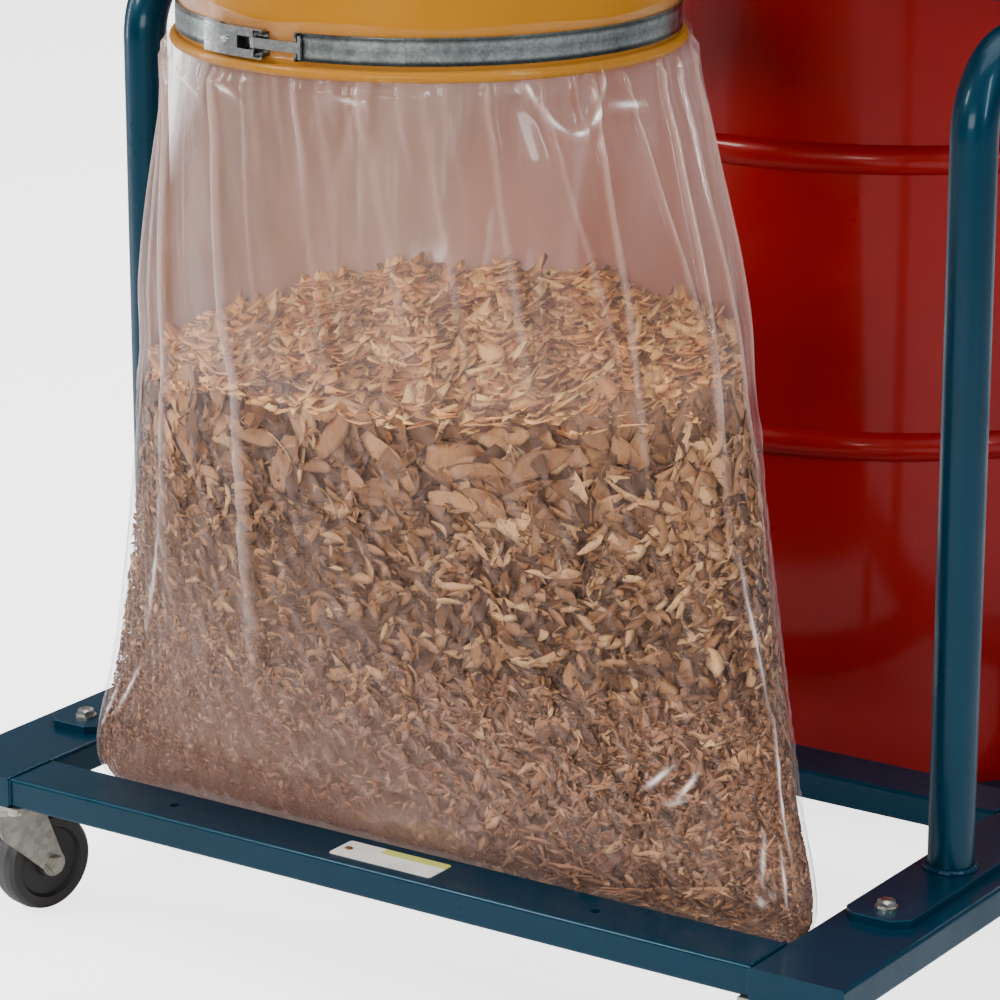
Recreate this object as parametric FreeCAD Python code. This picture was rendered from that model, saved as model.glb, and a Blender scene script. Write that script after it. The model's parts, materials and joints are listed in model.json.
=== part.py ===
"""Mobile two-stage dust collector: welded cart, chip bag under a ring hood, separator drum and blower.

Everything is drawn in the cart's frame: x = 0 on the centre line, y = 0 at the back edge of the front rail,
z = 0 on top of the rails, +y towards the drum.  save() moves it to the row frame, whose origin is the middle
of the bounding box on the floor.
"""
import FreeCAD, Part
import math
import os

V = FreeCAD.Vector
X_AXIS, Y_AXIS, Z_AXIS = V(1, 0, 0), V(0, 1, 0), V(0, 0, 1)

# ---- driving dimensions, mm ----
RAIL_TOP = 160.0          # rail top above the floor
RAIL_H = 30.0
RAIL_WALL = 3.0
BAY_W = 833.0             # clear width between the side rails
BAY_D = 387.0             # clear depth of the front bay
SIDE_W = 95.0
FRONT_W = 65.0
CROSS_W = 64.0
SIDE_FRONT = -68.0        # front end of the side rails
SIDE_REAR = 1340.0
CAP_T = 3.0
FRONT_HOLE_R, FRONT_HOLE_X, FRONT_HOLE_Y = 4.5, 238.5, -33.5

TUBE_R = 21.2             # hoop tube, 42.4 mm outside
TUBE_WALL = 2.6
HOOP_X = 458.0
HOOP_FRONT_Y = 221.0
HOOP_REAR_Y = 1066.0
HOOP_TOP = 752.0          # centre line of the hoop's top bar
HOOP_BEND = 72.0
FOOT_L, FOOT_W, FOOT_T = 294.0, 66.0, 8.0
FOOT_BOLT = 120.0         # bolt distance from the post
BOLT_R, BOLT_HOLE_R = 5.0, 5.5

RING_Y = 55.0             # centre of the hood and of the bag's mouth
HOOD_R = 222.0
HOOD_WALL = 2.0
HOOD_LOW, HOOD_TOP = 753.0, 1100.0
BEAD_R, BEAD_OUT = 5.0, 3.0   # rolled bead: its radius, and how far its centre stands out from the wall
FLANGE_R = HOOD_R + 22.0
FLANGE_BOLT_R = HOOD_R + 15.0
BAND_LOW, BAND_H = 762.0, 24.0
FILM_T = 1.0              # film between hood and band
BAND_R = HOOD_R + FILM_T  # inside of the strap
STRAP_T = 1.5
BAND_MID, BAND_HIGH = BAND_LOW + BAND_H / 2, BAND_LOW + BAND_H

# the latch sits on the front of the band; angles are degrees from +x about the ring's centre
LATCH_PIVOT = -93.0       # lever pin
LATCH_EYE = -95.8         # link pin on the lever
HOOK = -84.0
PIVOT_R = BAND_R + 7.0
EYE_PIN_R = BAND_R + 4.6
PIN_R = 1.5
LEVER_R = BAND_R + 10.0   # outermost face of the lever
CHEEK_R = BAND_R + 2.9    # innermost edge of the lever's cheeks
TONGUE_HALF = 4.5         # half the height of the link's tongue
NOTCH = (-99.2, -94.0)    # the tongue passes through a notch in the lever's face as it opens

# the bag's cross-section by height: (z, half width in x, half depth in y, centre x, centre y, squareness)
FILM_R = HOOD_R + BEAD_OUT + BEAD_R + 1.2
BAG_TOP = HOOD_LOW - BEAD_R
SHOULDER_R = FILM_R + 1.1   # the polygonal bag starts just outside the round collar
BAG_SECTIONS = (
    (BAG_TOP, SHOULDER_R, SHOULDER_R, 0.0, RING_Y, 2.0),
    (676.0, 246.0, 229.0, 4.0, 57.0, 2.0),
    (553.0, 283.0, 211.0, 4.0, 62.0, 2.0),
    (437.0, 309.0, 183.0, 3.0, 66.0, 2.05),
    (314.0, 335.0, 155.0, 2.0, 68.0, 2.1),
    (191.0, 360.0, 119.0, 3.0, 66.0, 2.2),
    (103.0, 378.0, 90.0, 5.0, 60.0, 2.4),
    (0.0, 403.0, 47.0, 9.0, 50.0, 2.8),
    (-24.0, 392.0, 24.0, 9.0, 50.0, 3.0),
)
BAG_WALL = 2.0
BAG_SIDES = 48

DUCT_R = 62.5
DUCT_WALL = 1.5
DUCT_X = HOOD_R - DUCT_R - HOOD_WALL
DUCT_Z = 1001.0

DRUM_Y = 905.0
DRUM_R = 330.0
DRUM_WALL = 1.5
DRUM_LOW, DRUM_TOP = -95.0, 893.0
RIB_Z = (266.0, 560.0)
RIB_OUT, RIB_HALF = 10.0, 15.0
INLET_R = 50.0
INLET_X = -(DRUM_R - INLET_R - 4.0)
INLET_Z = 800.0
INLET_END = 1330.0
LOCK_GAP = 200.0          # where the lock ring's ends meet, degrees from +x
LOCK_R = DRUM_R + 6.0
CRADLES = {"front": 690.0, "rear": 1120.0}

BEAM_Y, BEAM_W, BEAM_H = 373.0, 60.0, 30.0
BEAM_TOP = HOOP_TOP + TUBE_R + BEAM_H
POST_REAR_Y = 964.0
POST_W = 30.0
DECK_Z, DECK_T = 932.0, 4.0
DECK_X, DECK_REAR = 488.0, 1160.0

BLOWER_LOW = DECK_Z + DECK_T
BLOWER_H = 130.0
VOLUTE_MIN, VOLUTE_MAX = 185.0, DUCT_X + DUCT_R
VOLUTE_OUT = 250.0        # outlet face in front of the blower's axis
EYE_R = 72.0              # blower's suction eye
SHEET_T = 2.0
SHAFT_R, FIT = 12.0, 0.05
MOTOR_R = 92.0
MOTOR_LOW = BLOWER_LOW + BLOWER_H
MOTOR_TOP = MOTOR_LOW + 220.0

FILTER_R, FILTER_IN = HOOD_R + 4.0, HOOD_R - 24.0
FILTER_LOW, FILTER_TOP = 1103.0, 1650.0
PLEATS = 72
PADDLE_X = FILTER_IN - 20.0

SWITCH_X, SWITCH_W = HOOP_X, 70.0
SWITCH_BACK = BEAM_Y + BEAM_W / 2 - POST_W / 2
SWITCH_DEEP, SWITCH_LOW, SWITCH_H = 55.0, 815.0, 100.0
BUTTONS = {"start_button": 70.0, "stop_button": 32.0}
BUTTON_R = 11.0

CASTER_X, CASTER_Y = 451.0, -35.0
CASTER_TRAIL = 42.0
WHEEL_R, WHEEL_W = 50.0, 32.0
AXLE_Z = WHEEL_R - RAIL_TOP
AXLE_R = 6.0
# direction in which each wheel trails behind its swivel, degrees from +x
CASTER_TURN = {"front_left": 76.0, "front_right": 112.0, "rear_left": -74.0, "rear_right": -104.0}

SHIFT = V(0, -(SIDE_REAR + RING_Y - FLANGE_R) / 2, RAIL_TOP)


# ---- helpers ----
def save(name, shape):
    """Writes one node, moved to the row frame."""
    moved = shape.copy()
    moved.translate(SHIFT)
    moved.exportStep("parts/" + name + ".step")


def box(x0, x1, y0, y1, z0, z1):
    return Part.makeBox(x1 - x0, y1 - y0, z1 - z0, V(x0, y0, z0))


def cyl(r, h, x, y, z, axis=Z_AXIS):
    return Part.makeCylinder(r, h, V(x, y, z), axis)


def pipe(r_out, r_in, h, x, y, z, axis=Z_AXIS):
    return cyl(r_out, h, x, y, z, axis).cut(cyl(r_in, h, x, y, z, axis))


def prism(points, direction):
    """Extrudes a closed polygon of points."""
    return Part.Face(Part.makePolygon(points + points[:1])).extrude(direction)


def turned(profile, x, y, degrees=360.0):
    """Turns (radius, z) points about the vertical axis at x, y."""
    wire = Part.makePolygon([V(x + r, y, z) for r, z in profile + profile[:1]])
    return Part.Face(wire).revolve(V(x, y, 0), Z_AXIS, degrees)


def ring_part(r0, r1, z0, z1, a0, a1, x=0.0, y=RING_Y):
    """A ring segment between the angles a0 and a1, degrees from +x."""
    part = turned([(r0, z0), (r1, z0), (r1, z1), (r0, z1)], x, y, a1 - a0)
    part.rotate(V(x, y, 0), Z_AXIS, a0)
    return part


def on_ring(radius, angle, x=0.0, y=RING_Y):
    a = math.radians(angle)
    return x + radius * math.cos(a), y + radius * math.sin(a)


def hexagon(across, height, x, y, z):
    r = across / math.sqrt(3)
    turns = [math.radians(60 * i) for i in range(6)]
    return prism([V(x + r * math.cos(t), y + r * math.sin(t), z) for t in turns], V(0, 0, height))


def rect_tube(x0, x1, y0, y1, z0, z1, along, wall=RAIL_WALL, corner=4.0):
    """A rectangular tube, open at both ends, with rounded long edges."""
    outer = box(x0, x1, y0, y1, z0, z1)
    edges = [e for e in outer.Edges if abs(e.tangentAt(e.FirstParameter).dot(along)) > 0.99]
    outer = outer.makeFillet(corner, edges)
    keep_x, keep_y, keep_z = (wall * (1 - abs(c)) for c in (along.x, along.y, along.z))
    inner = box(x0 + keep_x, x1 - keep_x, y0 + keep_y, y1 - keep_y, z0 + keep_z, z1 - keep_z)
    return outer.cut(inner)


# ---- cart ----
def side_rail(side):
    low, high = sorted((side * BAY_W / 2, side * (BAY_W / 2 + SIDE_W)))
    rail = rect_tube(low, high, SIDE_FRONT + CAP_T, SIDE_REAR - CAP_T, -RAIL_H, 0, Y_AXIS)
    for post_y in (HOOP_FRONT_Y, HOOP_REAR_Y):
        for step in (-FOOT_BOLT, FOOT_BOLT):
            rail = rail.cut(cyl(BOLT_HOLE_R, RAIL_WALL * 2, side * HOOP_X, post_y + step, -RAIL_WALL * 2))
    return rail


def rail_end_caps():
    caps = []
    for side in (-1, 1):
        low, high = sorted((side * BAY_W / 2, side * (BAY_W / 2 + SIDE_W)))
        for y in (SIDE_FRONT, SIDE_REAR - CAP_T):
            plate = box(low, high, y, y + CAP_T, -RAIL_H, 0)
            edges = [e for e in plate.Edges if abs(e.tangentAt(e.FirstParameter).y) > 0.99]
            caps.append(plate.makeFillet(4.0, edges))
    return Part.makeCompound(caps)


def front_rail():
    rail = rect_tube(-BAY_W / 2, BAY_W / 2, -FRONT_W, 0, -RAIL_H, 0, X_AXIS)
    for side in (-1, 1):
        rail = rail.cut(cyl(FRONT_HOLE_R, RAIL_H * 2, side * FRONT_HOLE_X, FRONT_HOLE_Y, -RAIL_H * 1.5))
    return rail


def cross_rail():
    return rect_tube(-BAY_W / 2, BAY_W / 2, BAY_D, BAY_D + CROSS_W, -RAIL_H, 0, X_AXIS)


def drum_cradle(y):
    """A flat bar that hangs from both side rails and passes under the drum."""
    width, t = 60.0, 5.0
    half = BAY_W / 2
    y0, y1 = y - width / 2, y + width / 2
    strap = box(-half, half, y0, y1, DRUM_LOW - t, DRUM_LOW)
    for side in (-1, 1):
        leg = sorted((side * (half - t), side * half))
        foot = sorted((side * (half - t), side * (half + 60.0)))
        strap = strap.fuse(box(leg[0], leg[1], y0, y1, DRUM_LOW - t, -RAIL_H))
        strap = strap.fuse(box(foot[0], foot[1], y0, y1, -RAIL_H - t, -RAIL_H))
    return strap.removeSplitter()


def label_plate():
    """A plain blank plate on the front rail."""
    plate = box(-43, 71, -52, -16, 0, 0.8)
    edges = [e for e in plate.Edges if abs(e.tangentAt(e.FirstParameter).z) > 0.99]
    return plate.makeFillet(3.0, edges)


# ---- hoops ----
def hoop_path(x):
    low = FOOT_T
    a, b, r, top = HOOP_FRONT_Y, HOOP_REAR_Y, HOOP_BEND, HOOP_TOP
    k = r * (1 - math.sqrt(0.5))
    up = Part.LineSegment(V(x, a, low), V(x, a, top - r))
    bend = Part.Arc(V(x, a, top - r), V(x, a + k, top - k), V(x, a + r, top))
    bar = Part.LineSegment(V(x, a + r, top), V(x, b - r, top))
    back = Part.Arc(V(x, b - r, top), V(x, b - k, top - k), V(x, b, top - r))
    down = Part.LineSegment(V(x, b, top - r), V(x, b, low))
    return Part.Wire([s.toShape() for s in (up, bend, bar, back, down)])


def hoop(side):
    x = side * HOOP_X
    path = hoop_path(x)
    skins = []
    for r in (TUBE_R, TUBE_R - TUBE_WALL):
        ring = Part.Wire([Part.Circle(V(x, HOOP_FRONT_Y, FOOT_T), Z_AXIS, r).toShape()])
        skins.append(path.makePipeShell([ring], True, True))
    return skins[0].cut(skins[1])


def foot_plate(side, y):
    cut = 14.0
    x = side * HOOP_X
    w, l = FOOT_W / 2, FOOT_L / 2
    corners = [(-w, -l + cut), (-w + cut, -l), (w - cut, -l), (w, -l + cut)]
    outline = [V(x + p, y + q, 0) for p, q in corners + [(-p, -q) for p, q in corners]]
    plate = prism(outline, V(0, 0, FOOT_T))
    top = [e for e in plate.Edges if e.BoundBox.ZMin > FOOT_T - 0.01]
    plate = plate.makeChamfer(0.8, top)
    for step in (-FOOT_BOLT, FOOT_BOLT):
        plate = plate.cut(cyl(BOLT_HOLE_R, FOOT_T * 3, x, y + step, -FOOT_T))
    return plate


def foot_bolts():
    """Eight hexagon screws with washers, from the foot plates into the side rails."""
    bolts = []
    for side in (-1, 1):
        for post_y in (HOOP_FRONT_Y, HOOP_REAR_Y):
            for step in (-FOOT_BOLT, FOOT_BOLT):
                x, y = side * HOOP_X, post_y + step
                head = hexagon(16, 6.4, x, y, FOOT_T + 2)
                dome = Part.makeSphere(14.5, V(x, y, FOOT_T - 5.2))
                bolt = head.common(dome).fuse(cyl(10.5, 2, x, y, FOOT_T))
                bolts.append(bolt.fuse(cyl(BOLT_R, FOOT_T + 12, x, y, -12)).removeSplitter())
    return Part.makeCompound(bolts)


# ---- casters ----
def caster_place(name):
    x = -CASTER_X if "left" in name else CASTER_X
    y = CASTER_Y if "front" in name else SIDE_REAR + SIDE_FRONT - CASTER_Y
    return x, y


def caster_plate(x, y):
    """Top plate with the upper race and the king pin."""
    plate = box(x - 45, x + 45, y - 33, y + 33, -RAIL_H - 4, -RAIL_H)
    for dx in (-34, 34):
        for dy in (-23, 23):
            plate = plate.cut(cyl(4.5, 10, x + dx, y + dy, -RAIL_H - 7))
    race = [(0, -34), (27, -34), (30, -37), (30, -41), (AXLE_R, -41), (AXLE_R, -54), (10, -54), (8, -57),
            (0, -57)]
    return plate.fuse(turned(race, x, y)).removeSplitter()


def caster_fork(x, y):
    """Fork drawn trailing towards +x, then turned by the caller; the riveted axle is part of it."""
    gap, t = WHEEL_W / 2 + 2.5, 3.0
    crown = pipe(30, AXLE_R + FIT, 4, x, y, -45.3)
    top = box(x - 24, x + 34, y - gap - t, y + gap + t, -53.6, -45.3)
    top = top.cut(box(x - 40, x + 40, y - gap, y + gap, -60, -48.6))
    fork = crown.fuse(top)
    for side in (-1, 1):
        y0 = y + gap if side > 0 else y - gap - t
        outline = [V(x - 24, y0, -53.6), V(x + 34, y0, -53.6), V(x + CASTER_TRAIL + 13, y0, AXLE_Z)]
        outline += [V(x + CASTER_TRAIL - 13, y0, AXLE_Z - 3), V(x - 18, y0, -70)]
        fork = fork.fuse(prism(outline, V(0, t, 0)))
        fork = fork.fuse(cyl(13, t, x + CASTER_TRAIL, y0, AXLE_Z, Y_AXIS))
    fork = fork.cut(cyl(AXLE_R + FIT, 12, x, y, -52))
    nut = prism([V(x + CASTER_TRAIL + 9 * math.cos(i * math.pi / 3), y - gap - t - 6,
                   AXLE_Z + 9 * math.sin(i * math.pi / 3)) for i in range(6)], V(0, 6, 0))
    axle = cyl(AXLE_R, 2 * (gap + t) + 2.5, x + CASTER_TRAIL, y - gap - t, AXLE_Z, Y_AXIS)
    head = cyl(9.5, 2.5, x + CASTER_TRAIL, y + gap + t, AXLE_Z, Y_AXIS)
    return fork.fuse([nut, axle, head]).removeSplitter()


def caster_wheel(x, y):
    """Wheel with a rounded tread, recessed sides and a raised hub, axis along y before it is turned."""
    w, r = WHEEL_W / 2, WHEEL_R
    hub = w + 2.0
    half = [(AXLE_R + FIT, hub), (15, hub), (16, w - 5), (34, w - 5), (36.5, w), (r - 5, w),
            (r - 1.4, w - 3.5)]
    profile = half + [(r, w - 10)] + [(r, 10 - w)] + [(p, -q) for p, q in reversed(half)]
    wire = Part.makePolygon([V(p, q, 0) for p, q in profile + profile[:1]])
    wheel = Part.Face(wire).revolve(V(0, 0, 0), Y_AXIS, 360)
    wheel.translate(V(x + CASTER_TRAIL, y, AXLE_Z))
    return wheel


def save_casters():
    bolts = []
    for name, turn in CASTER_TURN.items():
        x, y = caster_place(name)
        save("caster_" + name + "_plate", caster_plate(x, y))
        for part, shape in (("fork", caster_fork(x, y)), ("wheel", caster_wheel(x, y))):
            shape.rotate(V(x, y, 0), Z_AXIS, turn)
            save("caster_" + name + "_" + part, shape)
        for dx in (-34, 34):
            for dy in (-23, 23):
                head = hexagon(13, 5.3, x + dx, y + dy, -RAIL_H - 9.3)
                bolts.append(head.fuse(cyl(4, 4, x + dx, y + dy, -RAIL_H - 4)).removeSplitter())
    save("caster_bolts", Part.makeCompound(bolts))


# ---- hood, bag and band ----
def flange_bolts():
    """Places of the eight bolts between the hood and the filter."""
    return [on_ring(FLANGE_BOLT_R, 22.5 + 45 * i) for i in range(8)]


def hood_shell():
    """Sheet-metal ring with a rolled bead at the bottom, a flange on top and a tangential inlet hole."""
    wall = pipe(HOOD_R, HOOD_R - HOOD_WALL, HOOD_TOP - HOOD_LOW, 0, RING_Y, HOOD_LOW)
    bead = Part.makeTorus(HOOD_R + BEAD_OUT, BEAD_R, V(0, RING_Y, HOOD_LOW))
    flange = pipe(FLANGE_R, HOOD_R - HOOD_WALL, 3, 0, RING_Y, HOOD_TOP - 3)
    shell = wall.fuse([bead, flange]).removeSplitter()
    hole = cyl(DUCT_R - DUCT_WALL, 400, DUCT_X, RING_Y, DUCT_Z, Y_AXIS)
    shell = shell.cut(hole)
    for x, y in flange_bolts():
        shell = shell.cut(cyl(3.5, 10, x, y, HOOD_TOP - 6))
    return shell


def vortex_finder():
    """Inner tube that the cleaned air leaves through, hung from a ring plate."""
    plate = pipe(HOOD_R - HOOD_WALL, 148, 2, 0, RING_Y, HOOD_TOP - 20)
    return plate.fuse(pipe(150, 148, 170, 0, RING_Y, HOOD_TOP - 190)).removeSplitter()


def hood_saddle():
    return ring_part(HOOD_R, HOOD_R + 4, 800, 880, 55, 125)


def hood_arms():
    arms = []
    for side in (-1, 1):
        x = side * 120.0
        arm = box(x - 15, x + 15, 200, BEAM_Y + BEAM_W, BEAM_TOP, BEAM_TOP + 30)
        arms.append(arm.cut(cyl(HOOD_R + 4, 100, 0, RING_Y, 790)))
    return Part.makeCompound(arms)


def bag_wire(section, inset, rise):
    z, a, b, cx, cy, power = section
    points = []
    for i in range(BAG_SIDES):
        t = 2 * math.pi * i / BAG_SIDES
        c, s = math.cos(t), math.sin(t)
        px = math.copysign(abs(c) ** (2 / power), c) * (a - inset)
        py = math.copysign(abs(s) ** (2 / power), s) * (b - inset)
        points.append(V(cx + px, cy + py, z + rise))
    return Part.makePolygon(points + points[:1])


def bag_loft(inset, over=0.0):
    """The bag's outline, drawn in by inset; the bottom rises by the same amount and the top by over."""
    wires = [bag_wire(BAG_SECTIONS[0], inset, over)]
    wires += [bag_wire(s, inset, 0.0) for s in BAG_SECTIONS[1:-1]]
    wires.append(bag_wire(BAG_SECTIONS[-1], inset, inset))
    return Part.makeLoft(wires, True, True)


def bag_film():
    """Closed bag: a thin collar over the bead and under the band, then the film down to the flat bottom."""
    body = bag_loft(0.0).cut(bag_loft(BAG_WALL, 1.0))
    top = BAND_LOW + BAND_H + 4
    hem = turned([(HOOD_R, top), (BAND_R, top), (BAND_R, BAND_LOW), (BAND_R + 2, BAND_LOW - 1),
                  (FILM_R - 2, HOOD_LOW + 5.5), (FILM_R, HOOD_LOW + 0.5), (FILM_R, BAG_TOP - 3),
                  (FILM_R - BAG_WALL, BAG_TOP - 3), (FILM_R - BAG_WALL, HOOD_LOW),
                  (HOOD_R, HOOD_LOW + 6)], 0, RING_Y)
    bead = Part.makeTorus(HOOD_R + BEAD_OUT, BEAD_R + 0.05, V(0, RING_Y, HOOD_LOW))
    return body.fuse(hem.cut(bead)).removeSplitter()


def chips_fill():
    """Chips and sawdust that fill the bag to just over half its height, a little higher at the right."""
    lid = box(-700, 700, -700, 700, 455, 1300)
    lid.rotate(V(0, 0, 455), Y_AXIS, -5.0)
    return bag_loft(BAG_WALL).cut(lid)


def band_strap():
    """Strap with its open ends at the latch: a bracket with two ears, and a doubled end with two hooks."""
    r0, r1 = BAND_R, BAND_R + STRAP_T
    strap = ring_part(r0, r1, BAND_LOW, BAND_HIGH, -85.2, 260.5)
    doubled = ring_part(r1, r1 + STRAP_T, BAND_LOW + 0.8, BAND_HIGH - 0.8, -81.5, -60.0)
    floor = ring_part(r0, r1, BAND_LOW + 1.5, BAND_HIGH - 1.5, 260.5 - 360, -92.1)
    strap = strap.fuse([doubled, floor])
    x, y = on_ring(PIVOT_R, LATCH_PIVOT)
    for z in (BAND_LOW + 1.5, BAND_HIGH - 4.0):
        ear = ring_part(r0, PIVOT_R + 2.6, z, z + 2.5, LATCH_PIVOT - 0.9, LATCH_PIVOT + 0.9)
        strap = strap.fuse(ear.cut(cyl(PIN_R + FIT, 4, x, y, z - 0.5)))
    for z0, z1 in ((BAND_LOW, BAND_MID - 5.5), (BAND_MID + 5.5, BAND_HIGH)):
        strap = strap.fuse(ring_part(r0, r1 + 5.0, z0, z1, HOOK - 0.5, HOOK))
    return strap.removeSplitter()


def band_lever():
    """Channel-shaped lever with two pivot stubs and the pin that carries the link."""
    low, high = BAND_LOW - 0.8, BAND_HIGH + 0.8
    lever = ring_part(LEVER_R - 1.6, LEVER_R, low, high, -110.5, LATCH_PIVOT - 1.5)
    notch = TONGUE_HALF + 1.0
    lever = lever.cut(ring_part(LEVER_R - 3.0, LEVER_R + 2.0, BAND_MID - notch, BAND_MID + notch, *NOTCH))
    px, py = on_ring(PIVOT_R, LATCH_PIVOT)
    ex, ey = on_ring(EYE_PIN_R, LATCH_EYE)
    for z0, z1, stub in ((low, low + 1.4, low), (high - 1.4, high, high - 5.4)):
        cheek = ring_part(CHEEK_R, LEVER_R, z0, z1, -104.0, LATCH_PIVOT + 0.65)
        lever = lever.fuse([cheek, cyl(PIN_R, 5.4, px, py, stub)])
    lever = lever.fuse(cyl(PIN_R, high - low, ex, ey, low))
    rx, ry = on_ring(LEVER_R, -103.0)
    rivet = Part.makeSphere(4.2, V(rx, ry, BAND_MID)).cut(cyl(LEVER_R - 1.0, 60, 0, RING_Y, BAND_MID - 30))
    return lever.fuse(rivet).removeSplitter()


def band_link():
    """Tongue with an eye on the lever's pin and a T-head that sits behind the hooks."""
    ex, ey = on_ring(EYE_PIN_R, LATCH_EYE)
    z0, z1 = BAND_MID - TONGUE_HALF, BAND_MID + TONGUE_HALF
    link = ring_part(EYE_PIN_R - 1, EYE_PIN_R + 1, z0, z1, LATCH_EYE, HOOK + 0.3)
    link = link.fuse(cyl(2.5, z1 - z0, ex, ey, z0))
    link = link.fuse(ring_part(EYE_PIN_R - 1, EYE_PIN_R + 1.6, z0 - 5.5, z1 + 5.5, HOOK + 0.25, HOOK + 0.9))
    return link.cut(cyl(PIN_R + FIT, 40, ex, ey, BAND_LOW - 5)).removeSplitter()


# ---- drum ----
def drum_profile(radius, low, high):
    """Edges of a turned profile with two rolling hoops, from the axis out, up and back."""
    def at(r, z):
        return V(r, DRUM_Y, z)
    edges = [Part.LineSegment(at(0, low), at(radius, low))]
    last = low
    for rib in RIB_Z:
        edges.append(Part.LineSegment(at(radius, last), at(radius, rib - RIB_HALF)))
        arc = Part.Arc(at(radius, rib - RIB_HALF), at(radius + RIB_OUT, rib), at(radius, rib + RIB_HALF))
        edges.append(arc)
        last = rib + RIB_HALF
    edges.append(Part.LineSegment(at(radius, last), at(radius, high)))
    edges.append(Part.LineSegment(at(radius, high), at(0, high)))
    edges.append(Part.LineSegment(at(0, high), at(0, low)))
    return Part.Face(Part.Wire([e.toShape() for e in edges]))


def drum_solid(inset, low, high):
    face = drum_profile(DRUM_R - inset, low, high)
    return face.revolve(V(0, DRUM_Y, 0), Z_AXIS, 360)


def drum_body():
    body = drum_solid(0, DRUM_LOW + 6, DRUM_TOP).cut(drum_solid(DRUM_WALL, DRUM_LOW + 7.5, DRUM_TOP + 5))
    chime = pipe(DRUM_R + 3, DRUM_R - 3, 12, 0, DRUM_Y, DRUM_LOW)
    curl = pipe(DRUM_R + 3, DRUM_R - DRUM_WALL, 6, 0, DRUM_Y, DRUM_TOP - 6)
    body = body.fuse([chime, curl]).removeSplitter()
    return body.cut(cyl(INLET_R, 400, INLET_X, DRUM_Y, INLET_Z, Y_AXIS))


def drum_inlet():
    """Tangential hose spigot."""
    length = INLET_END - DRUM_Y
    spigot = pipe(INLET_R, INLET_R - 2, length, INLET_X, DRUM_Y, INLET_Z, Y_AXIS)
    collar = pipe(INLET_R + 12, INLET_R, 4, INLET_X, INLET_END - 70, INLET_Z, Y_AXIS)
    return spigot.fuse(collar).cut(cyl(DRUM_R, 300, 0, DRUM_Y, INLET_Z - 150)).removeSplitter()


def drum_lid():
    lid = turned([(EYE_R, DRUM_TOP), (DRUM_R + 3, DRUM_TOP), (DRUM_R + 3, DRUM_TOP + 2),
                  (EYE_R + 3, DRUM_TOP + 2), (EYE_R + 3, DRUM_TOP + 22), (EYE_R + 1, DRUM_TOP + 22),
                  (EYE_R + 1, DRUM_TOP + 2), (EYE_R, DRUM_TOP + 2)], 0, DRUM_Y)
    return lid


def lock_ring():
    """C-shaped clamp ring with two ears for the lever's pin."""
    profile = [(DRUM_R + 0.2, DRUM_TOP - 12), (LOCK_R, DRUM_TOP - 12), (LOCK_R, DRUM_TOP + 4),
               (DRUM_R - 10, DRUM_TOP + 4), (DRUM_R - 10, DRUM_TOP + 2), (DRUM_R + 4, DRUM_TOP + 2),
               (DRUM_R + 4, DRUM_TOP - 10), (DRUM_R + 0.2, DRUM_TOP - 10)]
    ring = turned(profile, 0, DRUM_Y, 357)
    ring.rotate(V(0, DRUM_Y, 0), Z_AXIS, LOCK_GAP)
    x, y = on_ring(LOCK_R + 7, LOCK_GAP + 2, 0, DRUM_Y)
    for z in (DRUM_TOP - 12, DRUM_TOP + 1):
        ear = ring_part(LOCK_R - 1, LOCK_R + 11, z, z + 3, LOCK_GAP + 1.2, LOCK_GAP + 2.8, 0, DRUM_Y)
        ring = ring.fuse(ear.cut(cyl(2.5 + FIT, 10, x, y, z - 3)))
    return ring.removeSplitter()


def lock_lever():
    x, y = on_ring(LOCK_R + 7, LOCK_GAP + 2, 0, DRUM_Y)
    z0 = DRUM_TOP - 8.5
    lever = ring_part(LOCK_R + 5, LOCK_R + 9, z0, z0 + 9, LOCK_GAP + 2, LOCK_GAP + 22, 0, DRUM_Y)
    lever = lever.fuse([cyl(4, 9, x, y, z0), cyl(2.5, 16, x, y, DRUM_TOP - 12)])
    return lever.removeSplitter()


def suction_cuff():
    """Rubber sleeve between the lid's collar and the blower's suction eye."""
    return pipe(EYE_R + 7, EYE_R + 3, BLOWER_LOW - DRUM_TOP - 3, 0, DRUM_Y, DRUM_TOP + 3)


# ---- stand and blower ----
def stand_beam():
    return rect_tube(-490, 490, BEAM_Y, BEAM_Y + BEAM_W, BEAM_TOP - BEAM_H, BEAM_TOP, X_AXIS)


def stand_posts():
    posts = []
    half = POST_W / 2
    for side in (-1, 1):
        x = side * HOOP_X
        y = BEAM_Y + BEAM_W / 2
        posts.append(rect_tube(x - half, x + half, y - half, y + half, BEAM_TOP, DECK_Z, Z_AXIS, 2.5, 3.0))
        rear = rect_tube(x - half, x + half, POST_REAR_Y - half, POST_REAR_Y + half,
                         HOOP_TOP, DECK_Z, Z_AXIS, 2.5, 3.0)
        posts.append(rear.cut(cyl(TUBE_R, 60, x, POST_REAR_Y - 30, HOOP_TOP, Y_AXIS)))
    return Part.makeCompound(posts)


def deck_plate():
    deck = box(-DECK_X, DECK_X, BEAM_Y, DECK_REAR, DECK_Z, DECK_Z + DECK_T)
    edges = [e for e in deck.Edges if abs(e.tangentAt(e.FirstParameter).z) > 0.99]
    return deck.makeFillet(25.0, edges).cut(cyl(EYE_R + 10, 30, 0, DRUM_Y, DECK_Z - 10))


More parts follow.
